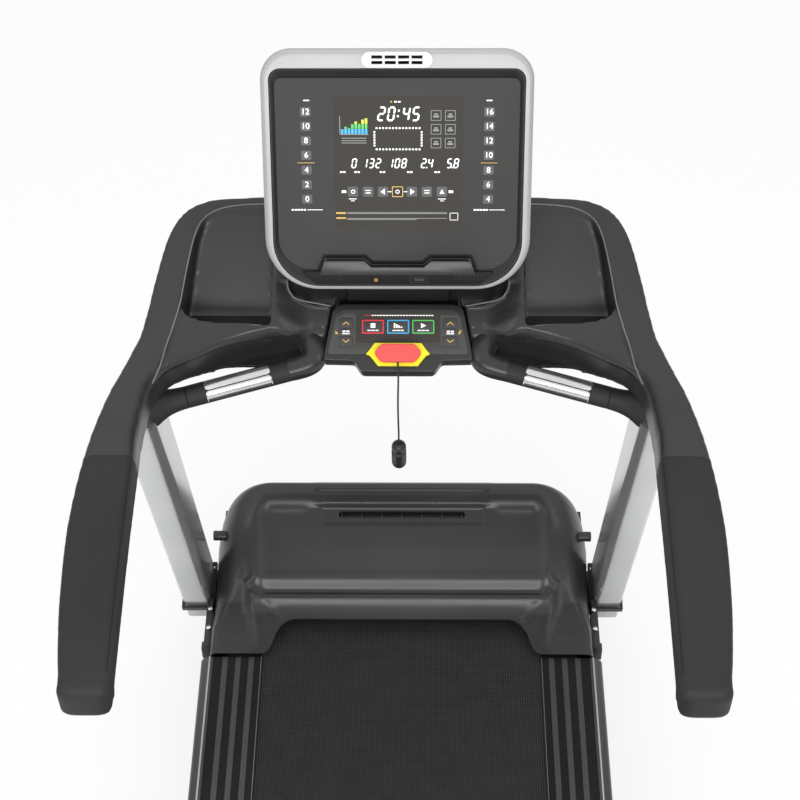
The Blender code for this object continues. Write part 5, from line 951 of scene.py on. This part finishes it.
# the bezel: a narrow rim, a slope down to the screen and a broad chin
rim = [(0.0, -0.011), (0.0, -0.001), (0.0008, -0.0003), (0.0024, -0.0003), (0.0034, -0.001)]
well = [(-0.001, -0.0044), (-0.0004, -0.005), (-0.0002, -0.01)]
rings = [face_ring(BEZEL_EDGE, *step) for step in rim]
rings += [face_ring(SCREEN_EDGE, *step) for step in well]
bezel = smoothed(lofted("head_bezel", rings), 38)
placed(bezel, darker_moulding, "head_bezel", head_place)

steps = ((0, -0.009), (0, -0.005), (0.0004, SCREEN_FACE))
screen = lofted("head_screen", [face_ring(SCREEN_EDGE, *step) for step in steps])
placed(screen, glass, "display_panel", head_place)


def flat_marks(name, outlines, place, lift, ink, body="base", slot="display_black", thickness=0.0001):
    """Printed marks: closed outlines filled as one flat curve, then made mesh and set in place."""
    art = bpy.data.curves.new(name, "CURVE")
    art.dimensions = "2D"
    art.fill_mode = "BOTH"
    art.extrude = thickness / 2
    for outline in outlines:
        ring = art.splines.new("POLY")
        ring.points.add(len(outline) - 1)
        for point, (x, y) in zip(ring.points, outline):
            point.co = (x, y, 0, 1)
        ring.use_cyclic_u = True
    marks = bpy.data.objects.new(name, art)
    bpy.context.scene.collection.objects.link(marks)
    only(marks)
    bpy.ops.object.convert(target="MESH")
    return placed(bpy.context.object, ink, None, place @ Matrix.Translation((0, 0, lift)), body)


def bar(x0, x1, y0, y1):
    return [(x0, y0), (x1, y0), (x1, y1), (x0, y1)]


def bars(count, x, pitch, width, y0, y1):
    """A row of like bars."""
    return [bar(x + pitch * k, x + pitch * k + width, y0, y1) for k in range(count)]


def frame_of(x0, x1, y0, y1, radius, line):
    """A rounded frame: an outer outline and the inner one a line's width within."""
    within = tile(x0 + line, x1 - line, y0 + line, y1 - line, max(radius - line, 0.0002), 5)
    return [tile(x0, x1, y0, y1, radius, 5), within]


def disc(x, y, radius, sides=12):
    return [(x + radius * math.cos(a), y + radius * math.sin(a)) for a in turns(sides)]


SEGMENTS = {"0": "abcdef", "1": "bc", "2": "abged", "3": "abgcd", "4": "fgbc"}
SEGMENTS.update({"5": "afgcd", "6": "afgedc", "7": "abc", "8": "abcdefg", "9": "abcdfg"})


def figures(text, right, bottom, height, pitch):
    """Slanted seven-segment figures, set from the right-hand end leftwards."""
    wide, line, slant = height * 0.5, height * 0.125, 0.16
    half, gap, middle = line / 2, line * 0.1, height / 2
    strokes = {}
    for key, y in {"a": height - half, "g": middle, "d": half}.items():
        x0, x1 = half + gap, wide - half - gap
        strokes[key] = [(x0, y), (x0 + half, y - half), (x1 - half, y - half)]
        strokes[key] += [(x1, y), (x1 - half, y + half), (x0 + half, y + half)]
    upper, lower = (middle + gap, height - half - gap), (half + gap, middle - gap)
    for key, x, (y0, y1) in (
        ("f", half, upper), ("b", wide - half, upper), ("e", half, lower), ("c", wide - half, lower)
    ):
        strokes[key] = [(x, y0), (x + half, y0 + half), (x + half, y1 - half)]
        strokes[key] += [(x, y1), (x - half, y1 - half), (x - half, y0 + half)]
    outlines = []
    pen = right
    for letter in reversed(text):
        if letter == ".":
            x = pen - (pitch - wide) * 0.75
            outlines.append(bar(x, x + line * 1.1, bottom, bottom + line * 1.1))
        elif letter == ":":
            pen -= pitch * 0.52
            for y in (height * 0.28, height * 0.66):
                x = pen + y * slant
                outlines.append(bar(x, x + line, bottom + y, bottom + y + line))
            pen -= pitch * 0.02
        else:
            pen -= pitch
            for key in SEGMENTS[letter]:
                outlines.append([(pen + x + y * slant, bottom + y) for x, y in strokes[key]])
    return outlines


def printed(name, colour, glow):
    """Ink or a lit segment: its own even colour with a very slight unevenness, a little lit; on plain
    print that glow is painted light.
    """
    tone = tuple(c * 0.92 for c in colour)
    lit_colour = (*colour, 1.0)
    return finish(
        name, tone, colour, 0.35, 900, 0.00001, Emission_Strength=glow, Emission_Color=lit_colour
    )


ink_white = printed("ink_white", (0.9, 0.9, 0.9), 0.55)
ink_grey = printed("ink_grey", (0.3, 0.3, 0.3), 0.1)
ink_faint = printed("ink_faint", (0.085, 0.085, 0.088), 0.0)
ink_dim = printed("ink_dim", (0.022, 0.022, 0.023), 0.0)
ink_gold = printed("ink_gold", (0.62, 0.4, 0.08), 0.25)
ink_blue = printed("ink_blue", (0.04, 0.4, 0.75), 0.3)
ink_green = printed("ink_green", (0.08, 0.5, 0.1), 0.3)
ink_yellow = printed("ink_yellow", (0.78, 0.72, 0.04), 0.3)
ink_red = printed("ink_red", (0.8, 0.03, 0.04), 0.25)
ink_smoke = finish(
    "ink_smoke", (0.062, 0.058, 0.053), (0.066, 0.062, 0.057), 0.4, 900, 0.00001,
    Specular_IOR_Level=0.05,
)

# the clock over a dotted running track, and the row of readings under them
white_marks = figures("20:45", 0.036, 0.08, 0.0228, 0.0148)
for text, right in (("0", -0.061), ("132", -0.024), ("108", 0.0155), ("2.4", 0.056), ("5.8", 0.0955)):
    white_marks += figures(text, right, 0.0064, 0.0157, 0.0103)
for k in range(14):
    white_marks += [disc(-0.0316 + 0.00505 * k, y, 0.0016) for y in (0.0694, 0.0362)]
for k in range(6):
    white_marks += [disc(x, 0.0422 + 0.0042 * k, 0.0016) for x in (-0.0348, 0.0372)]
# the labels' places hold short plain dashes
for x in (-0.088, -0.066, -0.027, 0.015, 0.057):
    white_marks += bars(2, x, 0.0048, 0.0035, -0.001, 0.0016)
white_marks += bars(2, -0.0045, 0.0057, 0.004, 0.109, 0.1112)
white_marks += bars(2, -0.142, 0.277, 0.009, 0.1112, 0.113)
for x in (-0.164, 0.118):
    white_marks += bars(5, x, 0.0046, 0.0036, -0.0614, -0.059)
    white_marks.append(bar(x + 0.024, x + 0.048, -0.0607, -0.0597))
# the control row: two arrowheads, and bars in the plain keys
white_marks += [[(-0.0262, -0.031), (-0.0194, -0.0262), (-0.0194, -0.0358)]]
white_marks += [[(0.0266, -0.031), (0.0198, -0.0358), (0.0198, -0.0262)]]
white_marks += [bar(-0.015, -0.0092, -0.0316, -0.0304), bar(0.0096, 0.0152, -0.0316, -0.0304)]
for x in (-0.0453, 0.0456):
    white_marks += [bar(*about(x, y, 0.004, 0.0007)) for y in (-0.029, -0.033)]
white_marks += [bar(-0.086, -0.079, -0.033, -0.029), bar(0.079, 0.086, -0.033, -0.029)]
white_marks += frame_of(-0.0716, -0.0652, -0.0342, -0.0278, 0.003, 0.0011)
white_marks += [[(0.0687, -0.027), (0.065, -0.0345), (0.0724, -0.0345)]]
white_marks += frame_of(-0.003, 0.0034, -0.0342, -0.0278, 0.003, 0.0012)
for x in (-0.069, 0.069):
    white_marks += [bar(*about(x, -0.0426, 0.006, 0.0006)), bar(*about(x, -0.0457, 0.003, 0.0005))]
white_marks += frame_of(0.0812, 0.094, -0.077, -0.065, 0.0012, 0.0008)

grey_marks = []
for x0, x1 in ((0.0512, 0.067), (0.0728, 0.0886)):
    for y1 in (0.0969, 0.0755, 0.0541):
        grey_marks += frame_of(x0, x1, y1 - 0.016, y1, 0.0006, 0.0009)
        grey_marks.append(bar(x0 + 0.0035, x1 - 0.0035, y1 - 0.011, y1 - 0.0082))
        grey_marks.append(bar(x0 + 0.0052, x1 - 0.0052, y1 - 0.0072, y1 - 0.005))
grey_marks += [bar(-0.085, -0.047, y, y + 0.0012) for y in (0.053, 0.049, 0.0455)]
grey_marks += [bar(-0.088, -0.0868, 0.06, 0.088), bar(-0.0868, -0.044, 0.0588, 0.06)]
for y, end in ((-0.065, 0.0768), (-0.0668, 0.0768), (-0.0745, 0.0768), (-0.0763, 0.03)):
    grey_marks.append(bar(-0.078, end, y, y + 0.001))

gold_marks = frame_of(-0.0084, 0.0088, -0.0395, -0.0225, 0.0012, 0.0013)
gold_marks += [bar(-0.0952, -0.08, -0.0668, -0.064), bar(-0.0952, -0.08, -0.0748, -0.0722)]
gold_marks += [bar(-0.153, -0.127, 0.0143, 0.0153), bar(0.128, 0.153, 0.0143, 0.0153)]
gold_marks.append(disc(-0.009, 0.1101, 0.0014))

# the keys' tiles: a row of six, and a column of seven each side for the step numbers
ROWS = (0.0945, 0.0721, 0.0496, 0.0268, 0.0032, -0.0199, -0.0431)
COLUMNS = ((-0.1394, (12, 10, 8, 6, 4, 2, 0)), (0.14, (16, 14, 12, 10, 8, 6, 4)))
tiles = [about(x, -0.031, 0.008, 0.008) for x in (-0.0687, -0.0453, -0.0222, 0.0222, 0.0456, 0.0687)]
tiles += [about(x, y, 0.0078, 0.0072) for x, _ in COLUMNS for y in ROWS]
faint_marks = [tile(*box, 0.002, 4) for box in tiles]
# a small chart of rising bars
CHART_BARS = (0.007, 0.011, 0.009, 0.015, 0.019, 0.016, 0.022, 0.024)
CHART_BANDS = {"blue": (0.0, 0.0075), "green": (0.0079, 0.0155), "yellow": (0.0159, 0.0245)}
CHART_X, CHART_Y, CHART_PITCH, CHART_WIDTH = -0.0858, 0.0604, 0.0052, 0.004
chart = {colour: [] for colour in CHART_BANDS}
for k, tall in enumerate(CHART_BARS):
    x = CHART_X + CHART_PITCH * k
    for colour, (low, high) in CHART_BANDS.items():
        if tall > low:
            chart[colour].append(bar(x, x + CHART_WIDTH, CHART_Y + low, CHART_Y + min(tall, high)))

# everything behind the screen sits a touch low in its window
printed_place = head_place @ Matrix.Translation((0, -PRINT_DROP, 0))
for name, outlines, lift, ink in (
    ("screen_window", [tile(-0.0967, 0.1, -0.092, 0.119, 0.002, 4)], 0.0001, ink_smoke),
    ("screen_key_tiles", faint_marks, 0.00025, ink_faint),
    ("screen_white_marks", white_marks, 0.0004, ink_white),
    ("screen_grey_marks", grey_marks, 0.0004, ink_grey),
    ("screen_gold_marks", gold_marks, 0.0004, ink_gold),
    ("screen_blue_bars", chart["blue"], 0.0004, ink_blue),
    ("screen_green_bars", chart["green"], 0.0004, ink_green),
    ("screen_yellow_bars", chart["yellow"], 0.0004, ink_yellow),
):
    flat_marks(name, outlines, printed_place, SCREEN_FACE + lift, ink)

# the two columns of plain step numbers
numbers = []
for x, column in COLUMNS:
    for y, step in zip(ROWS, column):
        bpy.ops.object.text_add()
        number = bpy.context.object
        number.data.body = str(step)
        number.data.size = NUMBER_SIZE
        number.data.offset = NUMBER_BOLDNESS
        number.data.align_x = number.data.align_y = "CENTER"
        number.data.extrude = NUMBER_HALF_DEPTH
        bpy.ops.object.convert(target="MESH")
        number.matrix_world = printed_place @ Matrix.Translation((x, y, SCREEN_FACE + NUMBER_LIFT))
        numbers.append(number)
placed(joined(numbers, "screen_numbers"), ink_white)

# the telephone rest: a lip with two tabs, standing off a trough whose shade is painted on a black sheet
lip = mirrored([(0.1222, -0.1618), (0.1136, -0.1388), (0.052, -0.1388), (0.0406, -0.149)])
rest = slab("head_rest_lip", lip, -0.002, 0.0155)
carved(rest, slab("rest_trough", bar(-0.118, 0.118, -0.156, -0.13), 0.001, 0.0125))
rounded_off(rest, 0.0008, 3, 40)
placed(rest, moulding, "book_ledge", head_place)
# a flat black sheet on the screen behind the lip: a painted shadow in the trough
shade = mirrored([(0.1262, -0.1595), (0.116, -0.1345), (0.05, -0.1345), (0.0388, -0.1447)])
plastic = ("base", "charcoal_plastic")
flat_marks("head_rest_painted_shadow", [shade], head_place, SCREEN_FACE + 0.0006, deep_black, *plastic, 0.001)

# the chin: a sloping dark band with a headphone socket, a charging slot and sound holes at its ends
chin = [(-0.15, -0.1612), (0.15, -0.1612), (0.129, -0.1835), (-0.129, -0.1835)]
chin = rounded_off(slab("head_chin", chin, -0.006, 0.0002), 0.001, 2, 40)
placed(chin, deep_black, at=head_place)
slot = frame_of(0.02, 0.048, -0.1795, -0.17, 0.001, 0.0006)
slot.append(tile(0.026, 0.042, -0.1768, -0.1728, 0.001, 3))
flat_marks("head_charging_slot", slot, head_place, 0.0005, ink_dim, *plastic, 0.0002)
sound = []
for _, side in SIDES:
    for row in range(3):
        for k in range(12):
            x = side * (HOLE_START + HOLE_PITCH * k)
            sound.append(disc(x, HOLE_Y - HOLE_ROW * row, HOLE_RADIUS, 8))
flat_marks("head_sound_holes", sound, head_place, 0.0005, ink_dim, *plastic, 0.0002)
bpy.ops.mesh.primitive_torus_add(
    major_radius=0.0021, minor_radius=0.0007, major_segments=28, minor_segments=10
)
socket = smoothed(bpy.context.object, 60)
socket.name = "head_headphone_socket"
socket_place = head_place @ Matrix.Translation((-0.0341, -0.1752, 0.0006))
placed(socket, ink_gold, at=socket_place)

# ---- keypad pod ----------------------------------------------------------------------------------
# A moulded pod under the screen with a flat overlay, seven short-travel keys, and a forward lip that
# holds the magnetic safety key in its yellow seat.

POD_ORIGIN, POD_LEAN = Vector((0, 0.559, 1.0775)), math.radians(61)
POD_DEPTH = 0.035
OVERLAY_LOW, OVERLAY_TOP = 0.0003, 0.0015
KEY_FOOT, KEY_TOP, KEY_GAP, KEY_ROUND = -0.0045, 0.002, 0.0003, 0.002
WIDE_KEY, SMALL_KEY = (0.0186, 0.0123), (0.01075, 0.00825)
SEAT_MIDDLE = -0.0387
# middle, and half its size
KEYS = {
    "stop_key": (-0.0405, 0.008, *WIDE_KEY),
    "cool_down_key": (0.0, 0.008, *WIDE_KEY),
    "start_key": (0.0405, 0.008, *WIDE_KEY),
    "incline_up_key": (-0.084, 0.0145, *SMALL_KEY),
    "incline_down_key": (-0.084, -0.0165, *SMALL_KEY),
    "speed_up_key": (0.084, 0.0145, *SMALL_KEY),
    "speed_down_key": (0.084, -0.0165, *SMALL_KEY),
}


def corners_turned(corners, steps):
    """A closed outline through corners of (x, y, radius), each turned by a short curve."""
    outline = []
    spots = [Vector(corner[:2]) for corner in corners]
    for k, (corner, (_, _, radius)) in enumerate(zip(spots, corners)):
        start = corner + (spots[k - 1] - corner).normalized() * radius
        end = corner + (spots[(k + 1) % len(spots)] - corner).normalized() * radius
        for j in range(steps + 1):
            t = j / steps
            outline.append(tuple((1 - t) ** 2 * start + 2 * t * (1 - t) * corner + t * t * end))
    return outline


def chevron(x, y, rise, half=0.0052, line=0.0014):
    """A V stroke, point up where rise is positive."""
    top, low = y + rise / 2, y - rise / 2
    drop = math.copysign(line * 1.35, rise)
    stroke = [(x - half, low), (x, top), (x + half, low)]
    return stroke + [(px, py - drop) for px, py in reversed(stroke)]


pod_place = facing(POD_ORIGIN, POD_LEAN)
right = [(0.05, -0.066), (0.057, -0.0655), (0.062, -0.061), (0.069, -0.05), (0.074, -0.048)]
right += [(0.119, -0.047), (0.1202, -0.044), (0.108, 0.03), (0.1055, 0.0375), (0.1, 0.043)]
right += [(0.092, 0.0462), (0.084, 0.0468)]
pod = slab("pod", mirrored(right), -POD_DEPTH, 0.0)
well = [(-0.099, -0.027), (0.099, -0.027), (0.097, 0.025), (-0.097, 0.025)]
carved(pod, slab("pod_well", well, -0.0065, 0.02))
rounded_off(pod, 0.0026, 4, 35)
placed(pod, moulding, "keypad_pod", pod_place)

right = [(0.11, -0.0375), (0.1125, -0.0345), (0.101, 0.0215), (0.0985, 0.0285), (0.0935, 0.0335)]
right += [(0.086, 0.0365), (0.078, 0.0372)]
overlay = slab("overlay", mirrored(right), OVERLAY_LOW, OVERLAY_TOP)
holes = {
    name: tile(*about(x, y, half_width + KEY_GAP, half_height + KEY_GAP), 0.0024, 4)
    for name, (x, y, half_width, half_height) in KEYS.items()
}
for hole in holes.values():
    carved(overlay, slab("key_hole", hole, -0.01, 0.01))
rounded_off(overlay, 0.0003, 2, 50)
placed(overlay, overlay_film, "keypad_panel", pod_place)

for name, box in KEYS.items():
    cap = slab(name + "_cap", tile(*about(*box), KEY_ROUND, 4), KEY_FOOT, KEY_TOP)
    rounded_off(cap, 0.0005, 2, 50)
    placed(cap, overlay_film, name, pod_place, name)

# smoked windows: one printed on the overlay round the three wide keys, one on each of those keys
around = [tile(-0.068, 0.068, -0.0184, 0.0347, 0.001, 3)]
around += [holes[name] for name in ("stop_key", "cool_down_key", "start_key")]
flat_marks("pod_window", around, pod_place, OVERLAY_TOP + 0.0001, ink_smoke)

# the wide keys' frames and plain signs: a square, falling bars and an arrowhead
x, y = KEYS["stop_key"][:2]
square = [tile(x - 0.0038, x + 0.0038, y - 0.0018, y + 0.0058, 0.0005, 3)]
x, y = KEYS["cool_down_key"][:2]
falling = []
for k in range(4):
    left = x - 0.007 + 0.0037 * k
    falling.append(bar(left, left + 0.0026, y - 0.0018, y + 0.0058 - 0.0018 * k))
x, y = KEYS["start_key"][:2]
arrowhead = [[(x - 0.0036, y - 0.0022), (x + 0.0046, y + 0.002), (x - 0.0036, y + 0.0062)]]
key_mark = KEY_TOP + 0.0001
# the inks glow a little, which on this plain print is painted light
for name, ink, sign in (
    ("stop_key", ink_red, square),
    ("cool_down_key", ink_blue, falling),
    ("start_key", ink_green, arrowhead),
):
    x, y = KEYS[name][:2]
    border = frame_of(*about(x, y, 0.0178, 0.0115), 0.0022, 0.0019)
    flat_marks(name + "_border", border, pod_place, key_mark, ink, name)
    sign += bars(3, x - 0.009, 0.0064, 0.0052, y - 0.007, y - 0.0052)
    flat_marks(name + "_sign", sign, pod_place, key_mark, ink_white, name)
for name, rise in (
    ("incline_up_key", 0.0042),
    ("speed_up_key", 0.0042),
    ("incline_down_key", -0.0042),
    ("speed_down_key", -0.0042),
):
    stroke = chevron(*KEYS[name][:2], rise)
    flat_marks(name + "_chevron", [stroke], pod_place, key_mark, ink_gold, name)
legend = []
for x in (-0.084, 0.084):
    legend += bars(2, x - 0.0055, 0.0063, 0.0047, -0.0012, 0.0016)
    legend.append(bar(x - 0.0062, x + 0.0062, -0.0042, -0.0028))
legend += bars(22, -0.043, 0.0046, 0.0034, 0.0262, 0.0278)
warning = bars(3, -0.054, 0.0034, 0.0022, 0.0262, 0.0278)
small = [[(-0.101, -0.0042), (-0.0955, -0.0042), (-0.101, 0.0022)]]
small += [[(0.0965, -0.0042), (0.0996, -0.0042), (0.102, 0.0022), (0.0989, 0.0022)]]
flat_marks("pod_legend", legend, pod_place, OVERLAY_TOP + 0.0002, ink_white)
flat_marks("pod_legend_red", warning, pod_place, OVERLAY_TOP + 0.0002, ink_red)
flat_marks("pod_gold_marks", small, pod_place, OVERLAY_TOP + 0.0002, ink_gold)

# the yellow seat, drawn out to a point at each side, and the red key with its grip shoulders
right = [(0.032, SEAT_MIDDLE - 0.019), (0.042, SEAT_MIDDLE - 0.0062), (0.046, SEAT_MIDDLE - 0.0018)]
right += [(0.0514, SEAT_MIDDLE), (0.0465, SEAT_MIDDLE + 0.006), (0.0375, SEAT_MIDDLE + 0.0186)]
seat = rounded_off(slab("key_seat", mirrored(right), 0.0018, 0.0078), 0.0008, 3, 30)
placed(seat, yellow, "safety_key_seat", pod_place)
right = [(0.027, SEAT_MIDDLE - 0.0148), (0.0385, SEAT_MIDDLE), (0.027, SEAT_MIDDLE + 0.0148)]
corners = [(x, y, 0.0062) for x, y in mirrored(right)]
red_key = slab("pull_key", corners_turned(corners, 6), 0.0081, 0.019)
rounded_off(red_key, 0.0022, 4, 40)
placed(red_key, red, "safety_key", pod_place, body="safety_key")

# ---- hand grips ----------------------------------------------------------------------------------
# Steel tubes in a moulded sleeve that flares out at the arm. Two pressed steel plates round each one
# read the pulse, and an elbow moulded with the tray holds the inner end.

GRIP_OUTER, GRIP_INNER = (0.3975, 0.458, 1.0085), (0.15, 0.52, 1.0383)
GRIP_RADIUS, FLARE_RADIUS = 0.0182, 0.0335
GROOVE_RADIUS = GRIP_RADIUS - 0.0012
PLATE_START, PLATE_END = 0.0925, 0.2
PLATE_OUTER, PLATE_INNER, PLATE_EASE = GRIP_RADIUS + 0.0011, GRIP_RADIUS - 0.0006, 0.0004
PLATE_ARCS = ((-24, 50), (56, 112))  # degrees up from the user's side
# how far in from a plate's end, and the degrees that its rounded corners take off there
PLATE_ENDS = [(0.0, 12), (0.0008, 7), (0.0022, 3), (0.0045, 0)]

length = (Vector(GRIP_OUTER) - Vector(GRIP_INNER)).length
profile = [(0.0, FLARE_RADIUS), (0.003, FLARE_RADIUS), (0.008, 0.0315), (0.015, 0.0275)]
profile += [(0.023, 0.0238), (0.032, 0.021), (0.042, 0.0192), (0.052, 0.0184), (0.06, GRIP_RADIUS)]
profile += [(0.0606, GROOVE_RADIUS), (0.0614, GRIP_RADIUS), (PLATE_START - 0.01, GRIP_RADIUS)]
profile += [(PLATE_END + 0.01, GRIP_RADIUS), (length - 0.012, GRIP_RADIUS)]
profile += [(length - 0.0112, GROOVE_RADIUS), (length - 0.0104, GRIP_RADIUS)]
profile += [(length, GRIP_RADIUS + 0.0004)]
spans = [(PLATE_START + at, cut) for at, cut in PLATE_ENDS]
spans += [(PLATE_END - at, cut) for at, cut in reversed(PLATE_ENDS)]
for name, side in SIDES:
    start, end = (Vector((side * x, y, z)) for x, y, z in (GRIP_OUTER, GRIP_INNER))
    way = (end - start).normalized()
    grip = lofted("grip_" + name, [ring_round(start + way * at, way, r, 48) for at, r in profile])
    placed(smoothed(grip, 40), soft_rubber, "grip_bar_" + name)

    # the two plates: strips bent to the tube, with a narrow gap between them and rounded corners
    axes = (Vector((0, -1, 0)), Vector((0, 0, 1)))
    user, lift = ((axis - way * way.dot(axis)).normalized() for axis in axes)
    plates = []
    for low, high in PLATE_ARCS:
        rings = []
        for at, cut in spans:
            outer_arc, inner_arc = [], []
            for k in range(15):
                a = math.radians(low + cut + (high - low - 2 * cut) * k / 14)
                spoke = user * math.cos(a) + lift * math.sin(a)
                edge = PLATE_EASE if k in (0, 14) or at in (PLATE_START, PLATE_END) else 0.0
                outer_arc.append(start + way * at + spoke * (PLATE_OUTER - edge))
                inner_arc.append(start + way * at + spoke * PLATE_INNER)
            rings.append(outer_arc + inner_arc[::-1])
        plates.append(lofted("plate", rings))
    plates = smoothed(joined(plates, "pulse_plates_" + name), 40)
    placed(plates, plate_steel, "pulse_plate_" + name)

# ---- uprights and foot rails ---------------------------------------------------------------------
# Rolled steel posts, painted pale grey, with a broad round on their inner rear edge. The foot rails'
# tread is moulded in two tones of charcoal; a silver strip along the outer edge and a pale one along
# the inner edge paint the highlights on the tread's corners.

POST_LEAN = math.radians(16)
POST_FOOT = Vector((0, 0.718, 0.105))
POST_LEVELS = (0.1052, 0.3, 0.55, 0.8, 1.006)
# x, y from the post's middle, and the radius
POST_CORNERS = [(0.443, -0.045, 0.006), (0.443, 0.045, 0.01)]
POST_CORNERS += [(0.385, 0.045, 0.01), (0.385, -0.045, 0.018)]
section = corners_turned(POST_CORNERS, 8)
for name, side in SIDES:
    rings = []
    for z in POST_LEVELS:
        middle_y = POST_FOOT.y - math.tan(POST_LEAN) * (z - POST_FOOT.z)
        rings.append([Vector((side * x, middle_y + y, z)) for x, y in section])
    post = smoothed(lofted("post_" + name, rings), 40)
    placed(post, pale_paint, "upright_" + name)

# a short black bracket reaches back from each post's collar, with its two plated bolts
BRACKET_FOOT, BRACKET_TOP, TOE_TOP = 0.16, 0.2, 0.196
BOLTS = ((0.624, 0.201), (0.578, 0.202))

plated = finish(
    "plated_steel", (0.66, 0.66, 0.67), (0.78, 0.78, 0.79), 0.18, 700, 0.00002, Metallic=1.0
)
stem = [(0.3772, 0.536), (0.3925, 0.536), (0.3925, 0.652), (0.3806, 0.652), (0.3806, 0.62)]
stem += [(0.3772, 0.612)]
toe = bar(0.3772, 0.3965, 0.533, 0.55)
for name, side in SIDES:
    bracket = slab("foot_bracket_" + name, to_side(side, stem), BRACKET_FOOT, BRACKET_TOP)
    carved(bracket, slab("bracket_toe", to_side(side, toe), BRACKET_FOOT, TOE_TOP), "UNION")
    placed(rounded_off(bracket, 0.0012, 2, 50), powder_coat)
    heads = []
    for y, z in BOLTS:
        place = (side * 0.385, y, z)
        bpy.ops.mesh.primitive_cylinder_add(vertices=6, radius=0.0052, depth=0.006, location=place)
        heads.append(bpy.context.object)
    heads = rounded_off(joined(heads, "foot_bolts_" + name), 0.0005, 2, 40)
    placed(heads, plated)

RAIL_INNER, RAIL_EDGE, RAIL_OUTER = 0.2722, 0.3725, 0.3928
RAIL_FRONT, RAIL_REAR = 0.4985, -0.974
RAIL_TREAD, RAIL_SKIRT = 0.2202, 0.1685
FIRST_RIB, RIB_PITCH, RIB_WIDTH, RIB_HEIGHT = 0.287, 0.0256, 0.0108, 0.0015
RIB_SINK, HIGHLIGHT_SINK = 0.0006, 0.0008


def strip(name, side, low, high, short, sink, top):
    """A strip along the tread between two distances off the middle, its ends drawn in."""
    x0, x1 = sorted((side * low, side * high))
    outline = bar(x0, x1, RAIL_REAR + short, RAIL_FRONT - short)
    return slab(name, outline, RAIL_TREAD - sink, RAIL_TREAD + top)


tread_light = finish("tread_ribs", (0.038, 0.038, 0.039), (0.05, 0.05, 0.051), 0.5, 1100, 0.0002)
tread_dark = finish(
    "tread_field", (0.006, 0.006, 0.006), (0.01, 0.01, 0.01), 0.6, 1100, 0.0002, Specular_IOR_Level=0.2
)
# the rail's section: x and z
section = [(RAIL_INNER, 0.216), (RAIL_INNER, 0.2196), (RAIL_INNER + 0.0006, RAIL_TREAD)]
section += [(RAIL_EDGE, RAIL_TREAD), (RAIL_EDGE + 0.004, RAIL_TREAD), (RAIL_EDGE + 0.006, 0.218)]
section += [(RAIL_OUTER - 0.006, 0.213), (RAIL_OUTER - 0.0022, 0.2095), (RAIL_OUTER - 0.0004, 0.204)]
section += [(RAIL_OUTER, 0.198), (RAIL_OUTER, RAIL_SKIRT), (RAIL_OUTER - 0.003, RAIL_SKIRT)]
section += [(RAIL_OUTER - 0.0034, 0.203), (RAIL_OUTER - 0.007, 0.2085), (RAIL_EDGE + 0.004, 0.214)]
section += [(RAIL_EDGE, 0.216)]
rib_spans = [(FIRST_RIB + RIB_PITCH * k, FIRST_RIB + RIB_PITCH * k + RIB_WIDTH) for k in range(3)]
rib_spans += [(RAIL_EDGE - 0.005, RAIL_EDGE - 0.0006)]
for name, side in SIDES:
    rail = slab("foot_rail_" + name + "_body", to_side(side, section), RAIL_REAR, RAIL_FRONT, "Y")
    rounded_off(rail, 0.0006, 2, 40)
    placed(rail, moulding, "foot_rail_" + name, body="deck")
    low, high = RAIL_INNER + 0.0008, RAIL_EDGE - 0.0004
    field = strip("tread_field_" + name, side, low, high, 0.0006, RIB_SINK, 0.0004)
    placed(field, tread_dark, body="deck")
    ribs = [strip("rib", side, *span, 0.001, RIB_SINK, RIB_HEIGHT) for span in rib_spans]
    ribs = rounded_off(joined(ribs, "tread_ribs_" + name), 0.0005, 2, 40)
    placed(ribs, tread_light, body="deck")
    # a silver strip along the outer corner: a painted highlight
    painted_edge_strip = strip("rail_highlight_strip_" + name, side, RAIL_EDGE, RAIL_EDGE + 0.0032, 0, HIGHLIGHT_SINK, 0.0018)
    placed(rounded_off(painted_edge_strip, 0.0005, 3, 40), silver, body="deck")
    # a pale strip along the inner corner: a painted highlight
    low, high = RAIL_INNER + 0.0006, RAIL_INNER + 0.002
    lip = strip("rail_inner_highlight_" + name, side, low, high, 0, HIGHLIGHT_SINK, 0.0008)
    placed(rounded_off(lip, 0.0005, 3, 40), painted_highlight, body="deck")
